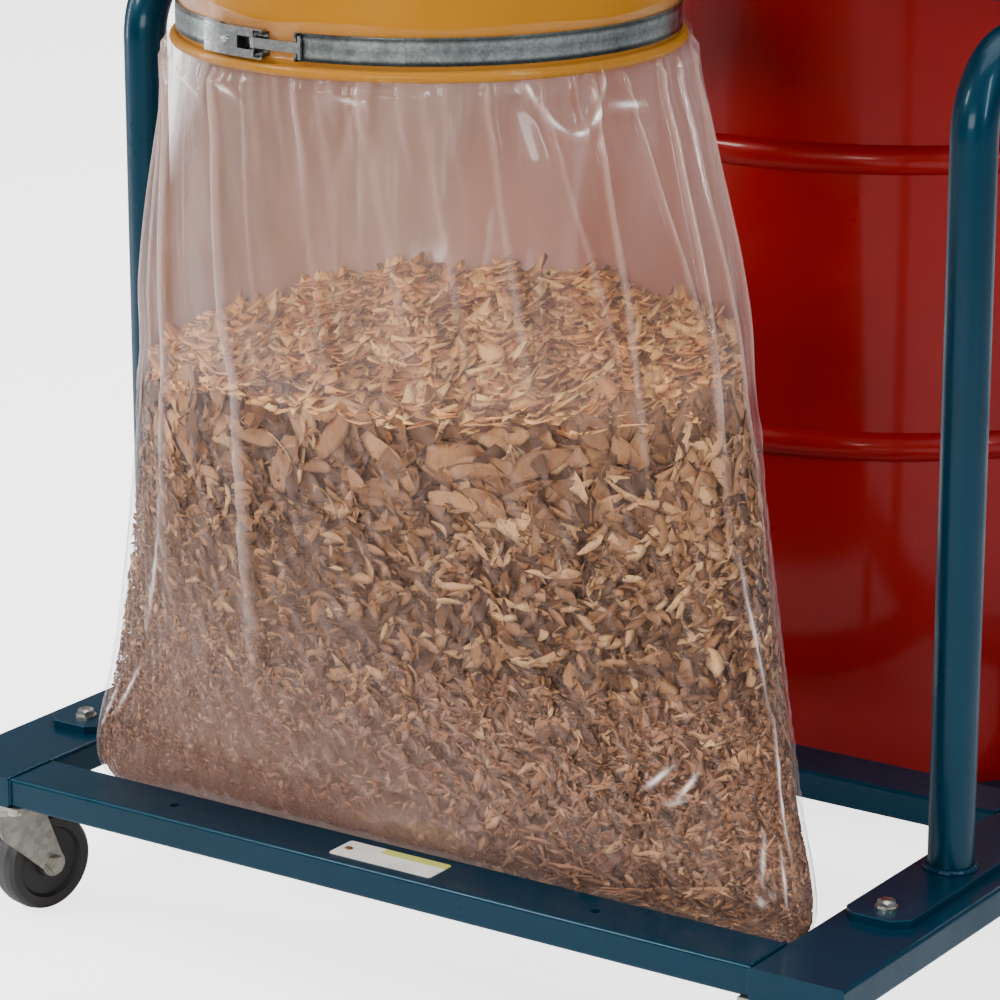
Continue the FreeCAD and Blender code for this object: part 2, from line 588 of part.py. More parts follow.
def volute_face(inset, z):
    """Scroll outline, wound clockwise from the tongue to the outlet on the right, facing forward."""
    inner_x = DUCT_X - DUCT_R + inset
    outer_x = VOLUTE_MAX - inset
    start = math.degrees(math.acos(inner_x / (VOLUTE_MIN - inset)))
    sweep = 360.0 - start
    points = []
    for i in range(25):
        f = i / 24
        r = VOLUTE_MIN - inset + f * (outer_x - VOLUTE_MIN + inset)
        t = math.radians(-start - f * sweep)
        points.append(V(r * math.cos(t), DRUM_Y + r * math.sin(t), z))
    scroll = Part.BSplineCurve()
    scroll.interpolate(points)
    mouth_y = DRUM_Y - VOLUTE_OUT
    a, b = V(outer_x, mouth_y, z), V(inner_x, mouth_y, z)
    edges = [scroll.toShape(), Part.LineSegment(points[-1], a).toShape(),
             Part.LineSegment(a, b).toShape(), Part.LineSegment(b, points[0]).toShape()]
    return Part.Face(Part.Wire(edges))


def blower_housing():
    outer = volute_face(0, BLOWER_LOW).extrude(V(0, 0, BLOWER_H))
    inner = volute_face(SHEET_T, BLOWER_LOW + SHEET_T).extrude(V(0, 0, BLOWER_H - 2 * SHEET_T))
    mouth_y = DRUM_Y - VOLUTE_OUT
    shell = outer.cut(inner)
    shell = shell.cut(cyl(EYE_R, 10, 0, DRUM_Y, BLOWER_LOW - 4))
    shell = shell.cut(cyl(30, 10, 0, DRUM_Y, BLOWER_LOW + BLOWER_H - 5))
    flange = box(DUCT_X - 78, DUCT_X + 78, mouth_y - 4, mouth_y, DUCT_Z - 64, DUCT_Z + 78)
    flange = flange.cut(cyl(DUCT_R - DUCT_WALL, 20, DUCT_X, mouth_y - 10, DUCT_Z, Y_AXIS))
    return shell.fuse(flange).removeSplitter()


def transfer_duct():
    mouth_y = DRUM_Y - VOLUTE_OUT - 4
    duct = pipe(DUCT_R, DUCT_R - DUCT_WALL, mouth_y - 100, DUCT_X, 100, DUCT_Z, Y_AXIS)
    duct = duct.fuse(pipe(DUCT_R + 14, DUCT_R, 4, DUCT_X, mouth_y - 4, DUCT_Z, Y_AXIS))
    duct = duct.cut(cyl(HOOD_R, 300, 0, RING_Y, DUCT_Z - 150))
    return duct.cut(box(0, 400, 0, mouth_y + 1, DECK_Z - 20, BLOWER_LOW)).removeSplitter()


def impeller():
    """Radial wheel with its shaft, which reaches up into the motor."""
    base = BLOWER_LOW + 22
    wheel = cyl(150, 3, 0, DRUM_Y, base + 75).fuse(cyl(28, 78, 0, DRUM_Y, base))
    blades = []
    for i in range(8):
        blade = box(24, 148, DRUM_Y - 1.5, DRUM_Y + 1.5, base, base + 76)
        blade.rotate(V(24, DRUM_Y, 0), Z_AXIS, 20)
        blade.rotate(V(0, DRUM_Y, 0), Z_AXIS, 45 * i)
        blades.append(blade)
    return wheel.fuse(blades + [cyl(SHAFT_R, 280, 0, DRUM_Y, base + 5)]).removeSplitter()


def motor_body():
    """Ribbed motor case on its flange, with a bore for the shaft."""
    case = cyl(MOTOR_R - 10, MOTOR_TOP - MOTOR_LOW, 0, DRUM_Y, MOTOR_LOW)
    case = case.fuse(cyl(110, 10, 0, DRUM_Y, MOTOR_LOW))
    fins = []
    for i in range(30):
        fin = box(MOTOR_R - 14, MOTOR_R, DRUM_Y - 1.6, DRUM_Y + 1.6, MOTOR_LOW + 24, MOTOR_TOP - 14)
        fin.rotate(V(0, DRUM_Y, 0), Z_AXIS, 12 * i + 6)
        fins.append(fin)
    case = case.fuse(fins)
    pad = box(60, MOTOR_R + 8, DRUM_Y - 40, DRUM_Y + 40, MOTOR_LOW + 70, MOTOR_LOW + 150)
    case = case.fuse(pad)
    return case.cut(cyl(SHAFT_R + FIT, 182, 0, DRUM_Y, MOTOR_LOW - 1)).removeSplitter()


def fan_cover():
    """Cap over the cooling fan, with radial slots."""
    low = MOTOR_TOP - 12
    cap = turned([(MOTOR_R + 0.5, low), (MOTOR_R + 2.5, low), (MOTOR_R + 2.5, low + 60),
                  (MOTOR_R - 14, low + 72), (0, low + 72), (0, low + 70), (MOTOR_R - 15, low + 70),
                  (MOTOR_R + 0.5, low + 59)], 0, DRUM_Y)
    for i in range(24):
        slot = box(22, 66, DRUM_Y - 2.2, DRUM_Y + 2.2, low + 60, low + 80)
        slot.rotate(V(0, DRUM_Y, 0), Z_AXIS, 15 * i)
        cap = cap.cut(slot)
    return cap


def terminal_box():
    x = MOTOR_R + 8
    case = box(x, x + 42, DRUM_Y - 45, DRUM_Y + 45, MOTOR_LOW + 65, MOTOR_LOW + 155)
    outer = [e for e in case.Edges if e.BoundBox.XMin > x + 41]
    return case.makeFillet(4.0, outer)


# ---- filter ----
def pleated_wire(offset, z):
    points = []
    for i in range(2 * PLEATS):
        r = (FILTER_R if i % 2 else FILTER_IN) - offset
        x, y = on_ring(r, 180.0 * i / PLEATS)
        points.append(V(x, y, z))
    return Part.makePolygon(points + points[:1])


def filter_media():
    height = V(0, 0, FILTER_TOP - FILTER_LOW - 22)
    outer = Part.Face(pleated_wire(0, FILTER_LOW + 22)).extrude(height)
    return outer.cut(Part.Face(pleated_wire(3.0, FILTER_LOW + 22)).extrude(height))


def filter_base():
    """Bottom ring of the filter: flange on the hood and a cup that holds the media."""
    low = HOOD_TOP
    ring = turned([(FILTER_IN - 8, low), (FLANGE_R, low), (FLANGE_R, low + 3), (FILTER_R + 4, low + 3),
                   (FILTER_R + 4, low + 40), (FILTER_R + 1, low + 40), (FILTER_R + 1, low + 25),
                   (FILTER_IN - 8, low + 25)], 0, RING_Y)
    for x, y in flange_bolts():
        ring = ring.cut(cyl(3.5, 10, x, y, low - 3))
    return ring


def filter_bolts():
    bolts = []
    for x, y in flange_bolts():
        head = hexagon(9, 4, x, y, HOOD_TOP + 3)
        nut = hexagon(9, 4, x, y, HOOD_TOP - 7)
        bolts.append(head.fuse([nut, cyl(3, 8, x, y, HOOD_TOP - 4)]).removeSplitter())
    return Part.makeCompound(bolts)


def filter_cap():
    """Top cap with a bearing bush for the cleaning crank."""
    low = FILTER_TOP
    edge = FILTER_IN - 10
    cap = turned([(FILTER_R + 1, low - 15), (FILTER_R + 4, low - 15), (FILTER_R + 4, low + 4),
                  (edge - 12, low + 18),
                  (18, low + 24), (18, low + 34), (6 + FIT, low + 34), (6 + FIT, low + 8), (14, low + 8),
                  (14, low + 21.5), (edge, low + 14), (edge, low), (FILTER_R + 1, low)], 0, RING_Y)
    return cap


def cleaning_paddle():
    """Shaft and flapper frame that knock dust off the pleats from inside."""
    low, high = FILTER_LOW + 60, FILTER_TOP - 40
    shaft = cyl(6, FILTER_TOP + 50 - low, 0, RING_Y, low)
    arms = []
    for z in (low + 20, high - 20):
        arms.append(box(-PADDLE_X - 3, PADDLE_X + 3, RING_Y - 4, RING_Y + 4, z, z + 8))
    for side in (-1, 1):
        x = side * PADDLE_X
        arms.append(box(x - 4, x + 4, RING_Y - 12, RING_Y + 12, low + 20, high - 12))
    return shaft.fuse(arms).removeSplitter()


def crank_handle():
    z = FILTER_TOP + 36
    arm = box(-12, 112, RING_Y - 10, RING_Y + 10, z, z + 8)
    edges = [e for e in arm.Edges if abs(e.tangentAt(e.FirstParameter).z) > 0.99]
    arm = arm.makeFillet(9.0, edges).fuse(cyl(14, 14, 0, RING_Y, z))
    knob = turned([(0, z + 8), (8, z + 8), (9, z + 14), (13, z + 24), (14, z + 40), (10, z + 50),
                   (0, z + 52)], 100, RING_Y)
    return arm.fuse(knob).cut(cyl(6, 30, 0, RING_Y, z - 16)).removeSplitter()


# ---- switch ----
def switch_box():
    front = SWITCH_BACK - SWITCH_DEEP
    half = SWITCH_W / 2
    case = box(SWITCH_X - half, SWITCH_X + half, front, SWITCH_BACK, SWITCH_LOW, SWITCH_LOW + SWITCH_H)
    edges = [e for e in case.Edges if abs(e.tangentAt(e.FirstParameter).y) > 0.99]
    case = case.makeFillet(8.0, edges)
    case = case.cut(box(SWITCH_X - half + 3, SWITCH_X + half - 3, front + 3, SWITCH_BACK - 3,
                        SWITCH_LOW + 3, SWITCH_LOW + SWITCH_H - 3))
    for height in BUTTONS.values():
        case = case.cut(cyl(BUTTON_R + 0.5, 10, SWITCH_X, front - 3, SWITCH_LOW + height, Y_AXIS))
    return case


def push_button(height, head_r):
    front = SWITCH_BACK - SWITCH_DEEP
    z = SWITCH_LOW + height
    stem = cyl(BUTTON_R, 18, SWITCH_X, front - 4.5, z, Y_AXIS)
    if head_r > BUTTON_R:
        head = cyl(head_r, 8, SWITCH_X, front - 12.5, z, Y_AXIS)
        rim = [e for e in head.Edges if e.BoundBox.YMax < front - 12.4]
        return stem.fuse(head.makeFillet(3.0, rim)).removeSplitter()
    return stem


def cable_gland():
    x, y = SWITCH_X, SWITCH_BACK - SWITCH_DEEP / 2
    gland = hexagon(22, 6, x, y, SWITCH_LOW - 6).fuse(cyl(9, 8, x, y, SWITCH_LOW - 14))
    return gland.cut(cyl(5, 30, x, y, SWITCH_LOW - 20)).removeSplitter()


def main():
    os.makedirs("parts", exist_ok=True)
    for name, side in (("left", -1), ("right", 1)):
        save("side_rail_" + name, side_rail(side))
        save("hoop_" + name, hoop(side))
    save("rail_end_caps", rail_end_caps())
    save("front_rail", front_rail())
    save("cross_rail", cross_rail())
    for name, y in CRADLES.items():
        save("drum_cradle_" + name, drum_cradle(y))
    save("label_plate", label_plate())
    plates = [foot_plate(side, y) for side in (-1, 1) for y in (HOOP_FRONT_Y, HOOP_REAR_Y)]
    save("foot_plates", Part.makeCompound(plates))
    save("foot_bolts", foot_bolts())
    save_casters()
    save("hood_shell", hood_shell())
    save("vortex_finder", vortex_finder())
    save("hood_saddle", hood_saddle())
    save("hood_arms", hood_arms())
    save("bag_film", bag_film())
    save("chips_fill", chips_fill())
    save("band_strap", band_strap())
    save("band_lever", band_lever())
    save("band_link", band_link())
    save("drum_body", drum_body())
    save("drum_inlet", drum_inlet())
    save("drum_lid", drum_lid())
    save("lock_ring", lock_ring())
    save("lock_lever", lock_lever())
    save("suction_cuff", suction_cuff())
    save("stand_beam", stand_beam())
    save("stand_posts", stand_posts())
    save("deck_plate", deck_plate())
    save("blower_housing", blower_housing())
    save("transfer_duct", transfer_duct())
    save("impeller", impeller())
    save("motor_body", motor_body())
    save("fan_cover", fan_cover())
    save("terminal_box", terminal_box())
    save("filter_media", filter_media())
    save("filter_base", filter_base())
    save("filter_bolts", filter_bolts())
    save("filter_cap", filter_cap())
    save("cleaning_paddle", cleaning_paddle())
    save("crank_handle", crank_handle())
    save("switch_box", switch_box())
    save("start_button", push_button(BUTTONS["start_button"], BUTTON_R))
    save("stop_button", push_button(BUTTONS["stop_button"], 17.0))
    save("cable_gland", cable_gland())


main()
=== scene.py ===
"""Looks for the mobile two-stage dust collector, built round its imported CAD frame.  Lengths are in metres."""
import json
import math
import bpy
import numpy as np
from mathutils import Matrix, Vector


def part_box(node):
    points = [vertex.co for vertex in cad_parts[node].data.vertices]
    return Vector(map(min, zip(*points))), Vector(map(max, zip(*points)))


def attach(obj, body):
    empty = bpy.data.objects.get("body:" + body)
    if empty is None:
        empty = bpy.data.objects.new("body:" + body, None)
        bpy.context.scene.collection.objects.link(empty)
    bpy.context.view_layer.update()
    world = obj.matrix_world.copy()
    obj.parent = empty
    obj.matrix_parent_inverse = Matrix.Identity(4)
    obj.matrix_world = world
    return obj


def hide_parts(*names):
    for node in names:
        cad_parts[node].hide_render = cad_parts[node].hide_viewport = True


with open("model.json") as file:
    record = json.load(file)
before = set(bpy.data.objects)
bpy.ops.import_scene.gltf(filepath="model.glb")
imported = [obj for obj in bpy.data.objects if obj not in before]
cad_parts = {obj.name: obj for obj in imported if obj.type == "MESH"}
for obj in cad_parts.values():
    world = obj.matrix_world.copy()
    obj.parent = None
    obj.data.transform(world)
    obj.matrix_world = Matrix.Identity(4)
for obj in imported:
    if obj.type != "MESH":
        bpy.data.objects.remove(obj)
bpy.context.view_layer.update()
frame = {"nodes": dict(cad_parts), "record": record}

rng = np.random.default_rng(7)
NODES = frame["nodes"]

# The bag, the chips and the welds are worked out in the CAD's cart frame, in millimetres.  Its origin is on
# the centre line, at the back edge of the front rail, on top of the rails.
RAIL_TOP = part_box("front_rail")[1]
CART = np.array([0.0, RAIL_TOP.y, RAIL_TOP.z])


def to_frame(points):
    """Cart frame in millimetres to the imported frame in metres."""
    return np.asarray(points, float) / 1000.0 + CART


# ---------------------------------------------------------------- camera, stage and light
CAMERA_AT = (2081.7, -2906.5, 1378.6)     # cart frame, mm
CAMERA_TURN = math.radians(34.111)        # to the left of straight back
CAMERA_DIP = math.radians(16.299)
FLOOR_HALF = 14.0
FLOOR_GLOW = 2.6
HORIZON = (0.10, 0.095, 0.09)
WHITE = (1.0, 1.0, 1.0)
# name, place, target, size, watts, colour
LIGHTS = [
    ("key", (-2.4, -3.4, 3.4), (0, -0.3, 0.7), (1.1, 1.1), 150, (1.0, 0.94, 0.87)),
    ("fill", (0.9, -3.6, 1.5), (0, -0.4, 0.6), (1.6, 0.8), 52, (1.0, 0.92, 0.84)),
    ("strip", (-3.2, -1.2, 1.5), (0, -0.3, 0.7), (0.25, 2.4), 55, WHITE),
    ("side", (3.2, -1.3, 2.3), (0, -0.1, 0.7), (0.35, 2.2), 60, (0.97, 0.98, 1.0)),
    ("rim", (-1.2, 3.8, 3.2), (0, 0.2, 0.8), (2.0, 1.2), 90, (0.95, 0.97, 1.0)),
    ("top", (0.2, -0.2, 4.6), (0, 0, 0.5), (3.2, 3.2), 105, WHITE)]


def make_camera():
    data = bpy.data.cameras.new("camera")
    data.lens = 148.23
    data.sensor_width = 36.0
    data.clip_end = 60.0
    cam = bpy.data.objects.new("camera", data)
    bpy.context.scene.collection.objects.link(cam)
    level = math.cos(CAMERA_DIP)
    look = Vector((-math.sin(CAMERA_TURN) * level, math.cos(CAMERA_TURN) * level, -math.sin(CAMERA_DIP)))
    cam.rotation_mode = "QUATERNION"
    cam.rotation_quaternion = look.to_track_quat("-Z", "Y")
    cam.location = to_frame(CAMERA_AT)
    bpy.context.scene.camera = cam


def area_light(name, place, target, size, power, colour):
    data = bpy.data.lights.new(name, "AREA")
    data.shape = "RECTANGLE"
    data.size, data.size_y = size
    data.energy = power
    data.color = colour
    lamp = bpy.data.objects.new(name, data)
    bpy.context.scene.collection.objects.link(lamp)
    lamp.location = place
    lamp.rotation_mode = "QUATERNION"
    lamp.rotation_quaternion = (Vector(target) - Vector(place)).to_track_quat("-Z", "Y")


def make_stage():
    h = FLOOR_HALF
    floor = quad_object("floor", [(-h, -h, 0), (h, -h, 0), (h, h, 0), (-h, h, 0)], [(0, 1, 2, 3)], False)
    floor.data.materials.append(floor_material())
    make_world()
    for light in LIGHTS:
        area_light(*light)


def floor_material():
    """Matt white, and a little brighter to the camera than its own light makes it."""
    mat, shader = material("pale_floor", (0.90, 0.90, 0.90), 0.85)
    seen = add(mat, "ShaderNodeLightPath").outputs["Is Camera Ray"]
    shader.inputs["Emission Color"].default_value = (*WHITE, 1)
    link(mat, maths(mat, "MULTIPLY", seen, FLOOR_GLOW), shader.inputs["Emission Strength"])
    return mat


def make_world():
    """A studio that is bright overhead and dim at the horizon, so glossy walls stay deep in colour.
    The camera itself sees an even white."""
    world = bpy.data.worlds.new("studio")
    bpy.context.scene.world = world
    world.use_nodes = True
    nodes = world.node_tree.nodes
    split = add(world, "ShaderNodeSeparateXYZ")
    link(world, add(world, "ShaderNodeTexCoord").outputs["Generated"], split.inputs["Vector"])
    studio = nodes["Background"]
    studio.inputs["Strength"].default_value = 0.55
    link(world, ramp(world, split.outputs["Z"], [(0.0, HORIZON), (0.8, WHITE)]), studio.inputs["Color"])
    pale = add(world, "ShaderNodeBackground", Color=(*WHITE, 1), Strength=3.1)
    mix = add(world, "ShaderNodeMixShader")
    link(world, add(world, "ShaderNodeLightPath").outputs["Is Camera Ray"], mix.inputs["Fac"])
    link(world, studio.outputs["Background"], mix.inputs[1])
    link(world, pale.outputs["Background"], mix.inputs[2])
    link(world, mix.outputs["Shader"], nodes["World Output"].inputs["Surface"])


# ---------------------------------------------------------------- mesh helpers
def quad_object(name, verts, quads, smooth=True):
    """A mesh from arrays of vertices (n, 3) and quads (m, 4)."""
    data = bpy.data.meshes.new(name)
    verts = np.ascontiguousarray(verts, np.float32)
    quads = np.ascontiguousarray(quads, np.int32)
    data.vertices.add(len(verts))
    data.vertices.foreach_set("co", verts.ravel())
    data.loops.add(quads.size)
    data.loops.foreach_set("vertex_index", quads.ravel())
    data.polygons.add(len(quads))
    data.polygons.foreach_set("loop_start", np.arange(0, quads.size, 4, dtype=np.int32))
    data.polygons.foreach_set("use_smooth", np.full(len(quads), smooth))
    data.update(calc_edges=True)
    data.validate()
    obj = bpy.data.objects.new(name, data)
    bpy.context.scene.collection.objects.link(obj)
    return obj


def grid_quads(rows, cols, wrap=True, ring=False):
    """Quads of a grid of vertices.  Wrap closes each row, ring joins the last row to the first one."""
    r = np.arange(rows if ring else rows - 1)[:, None]
    c = np.arange(cols if wrap else cols - 1)[None, :]
    far, beside = (r + 1) % rows, (c + 1) % cols
    corners = [r * cols + c, r * cols + beside, far * cols + beside, far * cols + c]
    return np.stack(corners, -1).reshape(-1, 4)


def smoothstep(a, b, x):
    t = np.clip((x - a) / (b - a), 0, 1)
    return t * t * (3 - 2 * t)


def unit(vectors):
    return vectors / np.linalg.norm(vectors, axis=-1, keepdims=True)


# ---------------------------------------------------------------- shader helpers
def material(name, colour, roughness, metallic=0.0):
    mat = bpy.data.materials.new(name)
    mat.use_nodes = True
    shader = mat.node_tree.nodes["Principled BSDF"]
    shader.inputs["Base Color"].default_value = (*colour, 1)
    shader.inputs["Roughness"].default_value = roughness
    shader.inputs["Metallic"].default_value = metallic
    return mat, shader


def add(mat, kind, **values):
    """A new node.  Each value sets one of its properties or, where it has none of that name, an input."""
    node = mat.node_tree.nodes.new(kind)
    for key, value in values.items():
        if hasattr(node, key) and key not in node.inputs:
            setattr(node, key, value)
        else:
            node.inputs[key].default_value = value
    return node


def link(mat, a, b):
    mat.node_tree.links.new(a, b)


def feed(mat, value, socket):
    """Gives a socket a number or a colour, or links it to the socket that value is."""
    if isinstance(value, bpy.types.NodeSocket):
        link(mat, value, socket)
    elif isinstance(value, tuple):
        socket.default_value = (*value, 1)
    else:
        socket.default_value = value


def mixed(mat, factor, a, b, blend="MIX"):
    """Colour a, turned to b by factor."""
    node = add(mat, "ShaderNodeMix", data_type="RGBA", blend_type=blend)
    for name, value in (("Factor", factor), ("A", a), ("B", b)):
        feed(mat, value, node.inputs[name])
    return node.outputs["Result"]


def maths(mat, operation, *values):
    node = add(mat, "ShaderNodeMath", operation=operation)
    for value, socket in zip(values, node.inputs):
        feed(mat, value, socket)
    return node.outputs["Value"]


def attribute(mat, name):
    return add(mat, "ShaderNodeAttribute", attribute_name=name).outputs["Fac"]


def coords(mat, scale=(1, 1, 1)):
    """Object coordinates in metres, stretched by scale."""
    mapping = add(mat, "ShaderNodeMapping", Scale=scale)
    link(mat, add(mat, "ShaderNodeTexCoord").outputs["Object"], mapping.inputs["Vector"])
    return mapping.outputs["Vector"]


def axes(mat):
    """Object coordinates in metres, one output for each of X, Y and Z."""
    split = add(mat, "ShaderNodeSeparateXYZ")
    link(mat, coords(mat), split.inputs["Vector"])
    return split.outputs


def noise(mat, scale, detail=3.0, rough=0.5, vector=None, distortion=0.0):
    node = add(mat, "ShaderNodeTexNoise", Scale=scale, Detail=detail, Roughness=rough, Distortion=distortion)
    link(mat, vector if vector is not None else coords(mat), node.inputs["Vector"])
    return node.outputs["Fac"]


def ramp(mat, fac, stops):
    node = add(mat, "ShaderNodeValToRGB")
    elements = node.color_ramp.elements
    while len(elements) < len(stops):
        elements.new(0.5)
    for element, (position, colour) in zip(elements, stops):
        element.position = position
        element.color = (*colour, 1)
    link(mat, fac, node.inputs["Fac"])
    return node.outputs["Color"]


def spread(mat, fac, low, high, a=0.3, b=0.7):
    """Maps a value from a..b to low..high, and holds it there outside."""
    node = add(mat, "ShaderNodeMapRange")
    node.inputs["From Min"].default_value, node.inputs["From Max"].default_value = a, b
    node.inputs["To Min"].default_value, node.inputs["To Max"].default_value = low, high
    link(mat, fac, node.inputs["Value"])
    return node.outputs["Result"]


def bump(mat, shader, height, strength, distance, before=None):
    node = add(mat, "ShaderNodeBump", Strength=strength, Distance=distance)
    link(mat, height, node.inputs["Height"])
    if before is not None:
        link(mat, before, node.inputs["Normal"])
    link(mat, node.outputs["Normal"], shader.inputs["Normal"])
    return node.outputs["Normal"]


def scaled(colour, gain, lift=0.0):
    return tuple(min(1.0, c * gain + lift) for c in colour)


# ---------------------------------------------------------------- materials
PAINT_DUST = (0.42, 0.38, 0.33)


def paint(name, colour, roughness, coat, dust, wave, sheen):
    """Sprayed enamel: orange peel, slow tone changes, rubbed and dusty patches."""
    mat, shader = material(name, colour, roughness)
    slow = noise(mat, 3.2, 4, 0.6)
    base = ramp(mat, slow, [(0.25, scaled(colour, 0.72)), (0.5, colour), (0.8, scaled(colour, 1.15))])
    specks = spread(mat, noise(mat, 240, 2, 0.7), 0.0, dust, 0.60, 0.85)
    link(mat, mixed(mat, specks, base, PAINT_DUST), shader.inputs["Base Color"])
    rubbed = spread(mat, noise(mat, 14, 5, 0.65), roughness * 0.75, roughness * 1.45)
    link(mat, rubbed, shader.inputs["Roughness"])
    shader.inputs["Specular IOR Level"].default_value = 0.28
    shader.inputs["Specular Tint"].default_value = (*sheen, 1)
    shader.inputs["Coat Tint"].default_value = (*sheen, 1)
    shader.inputs["Coat Weight"].default_value = coat
    shader.inputs["Coat Roughness"].default_value = 0.10
    peel = bump(mat, shader, noise(mat, 900, 2, 0.5), 0.25, 0.0002)
    bump(mat, shader, noise(mat, 28, 3, 0.5), wave, 0.002, peel)
    return mat


def zinc(name, colour, roughness, spangle=True):
    """Zinc-plated or galvanised steel with a faint spangle and dull patches."""
    mat, shader = material(name, colour, roughness, 1.0)
    crystals = add(mat, "ShaderNodeTexVoronoi", Scale=130 if spangle else 380)
    link(mat, coords(mat), crystals.inputs["Vector"])
    split = add(mat, "ShaderNodeSeparateColor")
    link(mat, crystals.outputs["Color"], split.inputs["Color"])
    base = ramp(mat, split.outputs["Red"], [(0.0, scaled(colour, 0.8)), (1.0, scaled(colour, 1.15))])
    dull = spread(mat, noise(mat, 35, 4, 0.65), 0.0, 0.55, 0.52, 0.75)
    link(mat, mixed(mat, dull, base, scaled(colour, 0.55)), shader.inputs["Base Color"])
    rubbed = spread(mat, noise(mat, 70, 3, 0.6), roughness * 0.7, roughness * 1.5)
    link(mat, rubbed, shader.inputs["Roughness"])
    bump(mat, shader, noise(mat, 420, 3, 0.6), 0.25, 0.0003)
    return mat


def strap_steel(name, node):
    """Strip steel with painted highlight bands across it and painted shade along its rolled edges."""
    mat = zinc(name, (0.30, 0.335, 0.34), 0.26, False)
    colour = mat.node_tree.nodes["Principled BSDF"].inputs["Base Color"]
    low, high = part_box(node)
    across = spread(mat, axes(mat)["Z"], 0, 1, low.z, high.z)
    # painted highlight bands across the strap and painted shade at its rolled edges
    edge = ramp(mat, across, [
        (0.0, (0.10, 0.10, 0.10)), (0.10, (0.16, 0.17, 0.17)), (0.22, (0.95, 0.95, 0.95)),
        (0.50, (0.62, 0.65, 0.66)), (0.76, WHITE), (0.90, (0.22, 0.22, 0.22)), (1.0, (0.5, 0.5, 0.5))])
    link(mat, mixed(mat, 1.0, colour.links[0].from_socket, edge, "MULTIPLY"), colour)
    return mat


def plastic(name, colour, roughness, grain=700):
    mat, shader = material(name, colour, roughness)
    stops = [(0.3, scaled(colour, 0.8)), (0.7, scaled(colour, 1.25, 0.004))]
    link(mat, ramp(mat, noise(mat, 9, 4, 0.6), stops), shader.inputs["Base Color"])
    rubbed = spread(mat, noise(mat, 40, 4, 0.6), roughness * 0.85, roughness * 1.2)
    link(mat, rubbed, shader.inputs["Roughness"])
    bump(mat, shader, noise(mat, grain, 2, 0.5), 0.25, 0.0002)
    return mat


def paper(name):
    """Pleated filter paper with patches of dust."""
    mat, shader = material(name, (0.74, 0.72, 0.66), 0.9)
    fibre = noise(mat, 260, 4, 0.7, coords(mat, (1, 1, 0.15)))
    base = ramp(mat, fibre, [(0.3, (0.60, 0.57, 0.50)), (0.7, (0.80, 0.78, 0.72))])
    stain = spread(mat, noise(mat, 5, 5, 0.65), 0.0, 0.55, 0.45, 0.75)
    link(mat, mixed(mat, stain, base, (0.50, 0.41, 0.30)), shader.inputs["Base Color"])
    bump(mat, shader, fibre, 0.35, 0.0006)
    return mat


def label_material():
    """A blank white plate with a yellow-green strip along its back edge."""
    mat, shader = material("blank_label", (0.80, 0.81, 0.80), 0.35)
    low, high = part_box("label_plate")
    place = axes(mat)
    near_back = spread(mat, place["Y"], 0, 1, high.y - 0.012, high.y - 0.011)
    past_screw = spread(mat, place["X"], 0, 1, low.x + 0.040, low.x + 0.042)
    strip = maths(mat, "MULTIPLY", near_back, past_screw)
    white = ramp(mat, noise(mat, 30, 4, 0.6), [(0.3, (0.62, 0.63, 0.62)), (0.6, (0.82, 0.83, 0.82))])
    link(mat, mixed(mat, strip, white, (0.55, 0.58, 0.14)), shader.inputs["Base Color"])
    return mat


def wood_chips(name, tones):
    """Every flake has its own tone, with grain lines along it."""
    mat, shader = material(name, tones[2][1], 0.72)
    island = add(mat, "ShaderNodeNewGeometry").outputs["Random Per Island"]
    grain = noise(mat, 420, 4, 0.7, coords(mat, (1.0, 1.0, 0.3)), 0.6)
    lines = ramp(mat, grain, [(0.30, (0.50, 0.38, 0.28)), (0.55, WHITE)])
    colour = mixed(mat, 0.75, ramp(mat, island, tones), lines, "MULTIPLY")
    link(mat, colour, shader.inputs["Base Color"])
    bump(mat, shader, grain, 0.4, 0.0006)
    return mat


def sawdust():
    """Packed fines in dark and light patches, kept very dark as painted shade in the gaps between the flakes.
    """
    mat, shader = material("sawdust_painted_shade", (0.40, 0.24, 0.15), 0.9)
    speck = noise(mat, 300, 5, 0.75)
    # very dark tones: painted shade in the gaps between the flakes
    tones = [(0.30, (0.035, 0.014, 0.007)), (0.50, (0.15, 0.065, 0.030)), (0.72, (0.34, 0.17, 0.085))]
    fine = ramp(mat, speck, tones)
    patch = ramp(mat, noise(mat, 45, 4, 0.6), [(0.35, (0.55, 0.48, 0.45)), (0.6, WHITE)])
    link(mat, mixed(mat, 0.8, fine, patch, "MULTIPLY"), shader.inputs["Base Color"])
    bump(mat, shader, speck, 0.8, 0.003)
    return mat


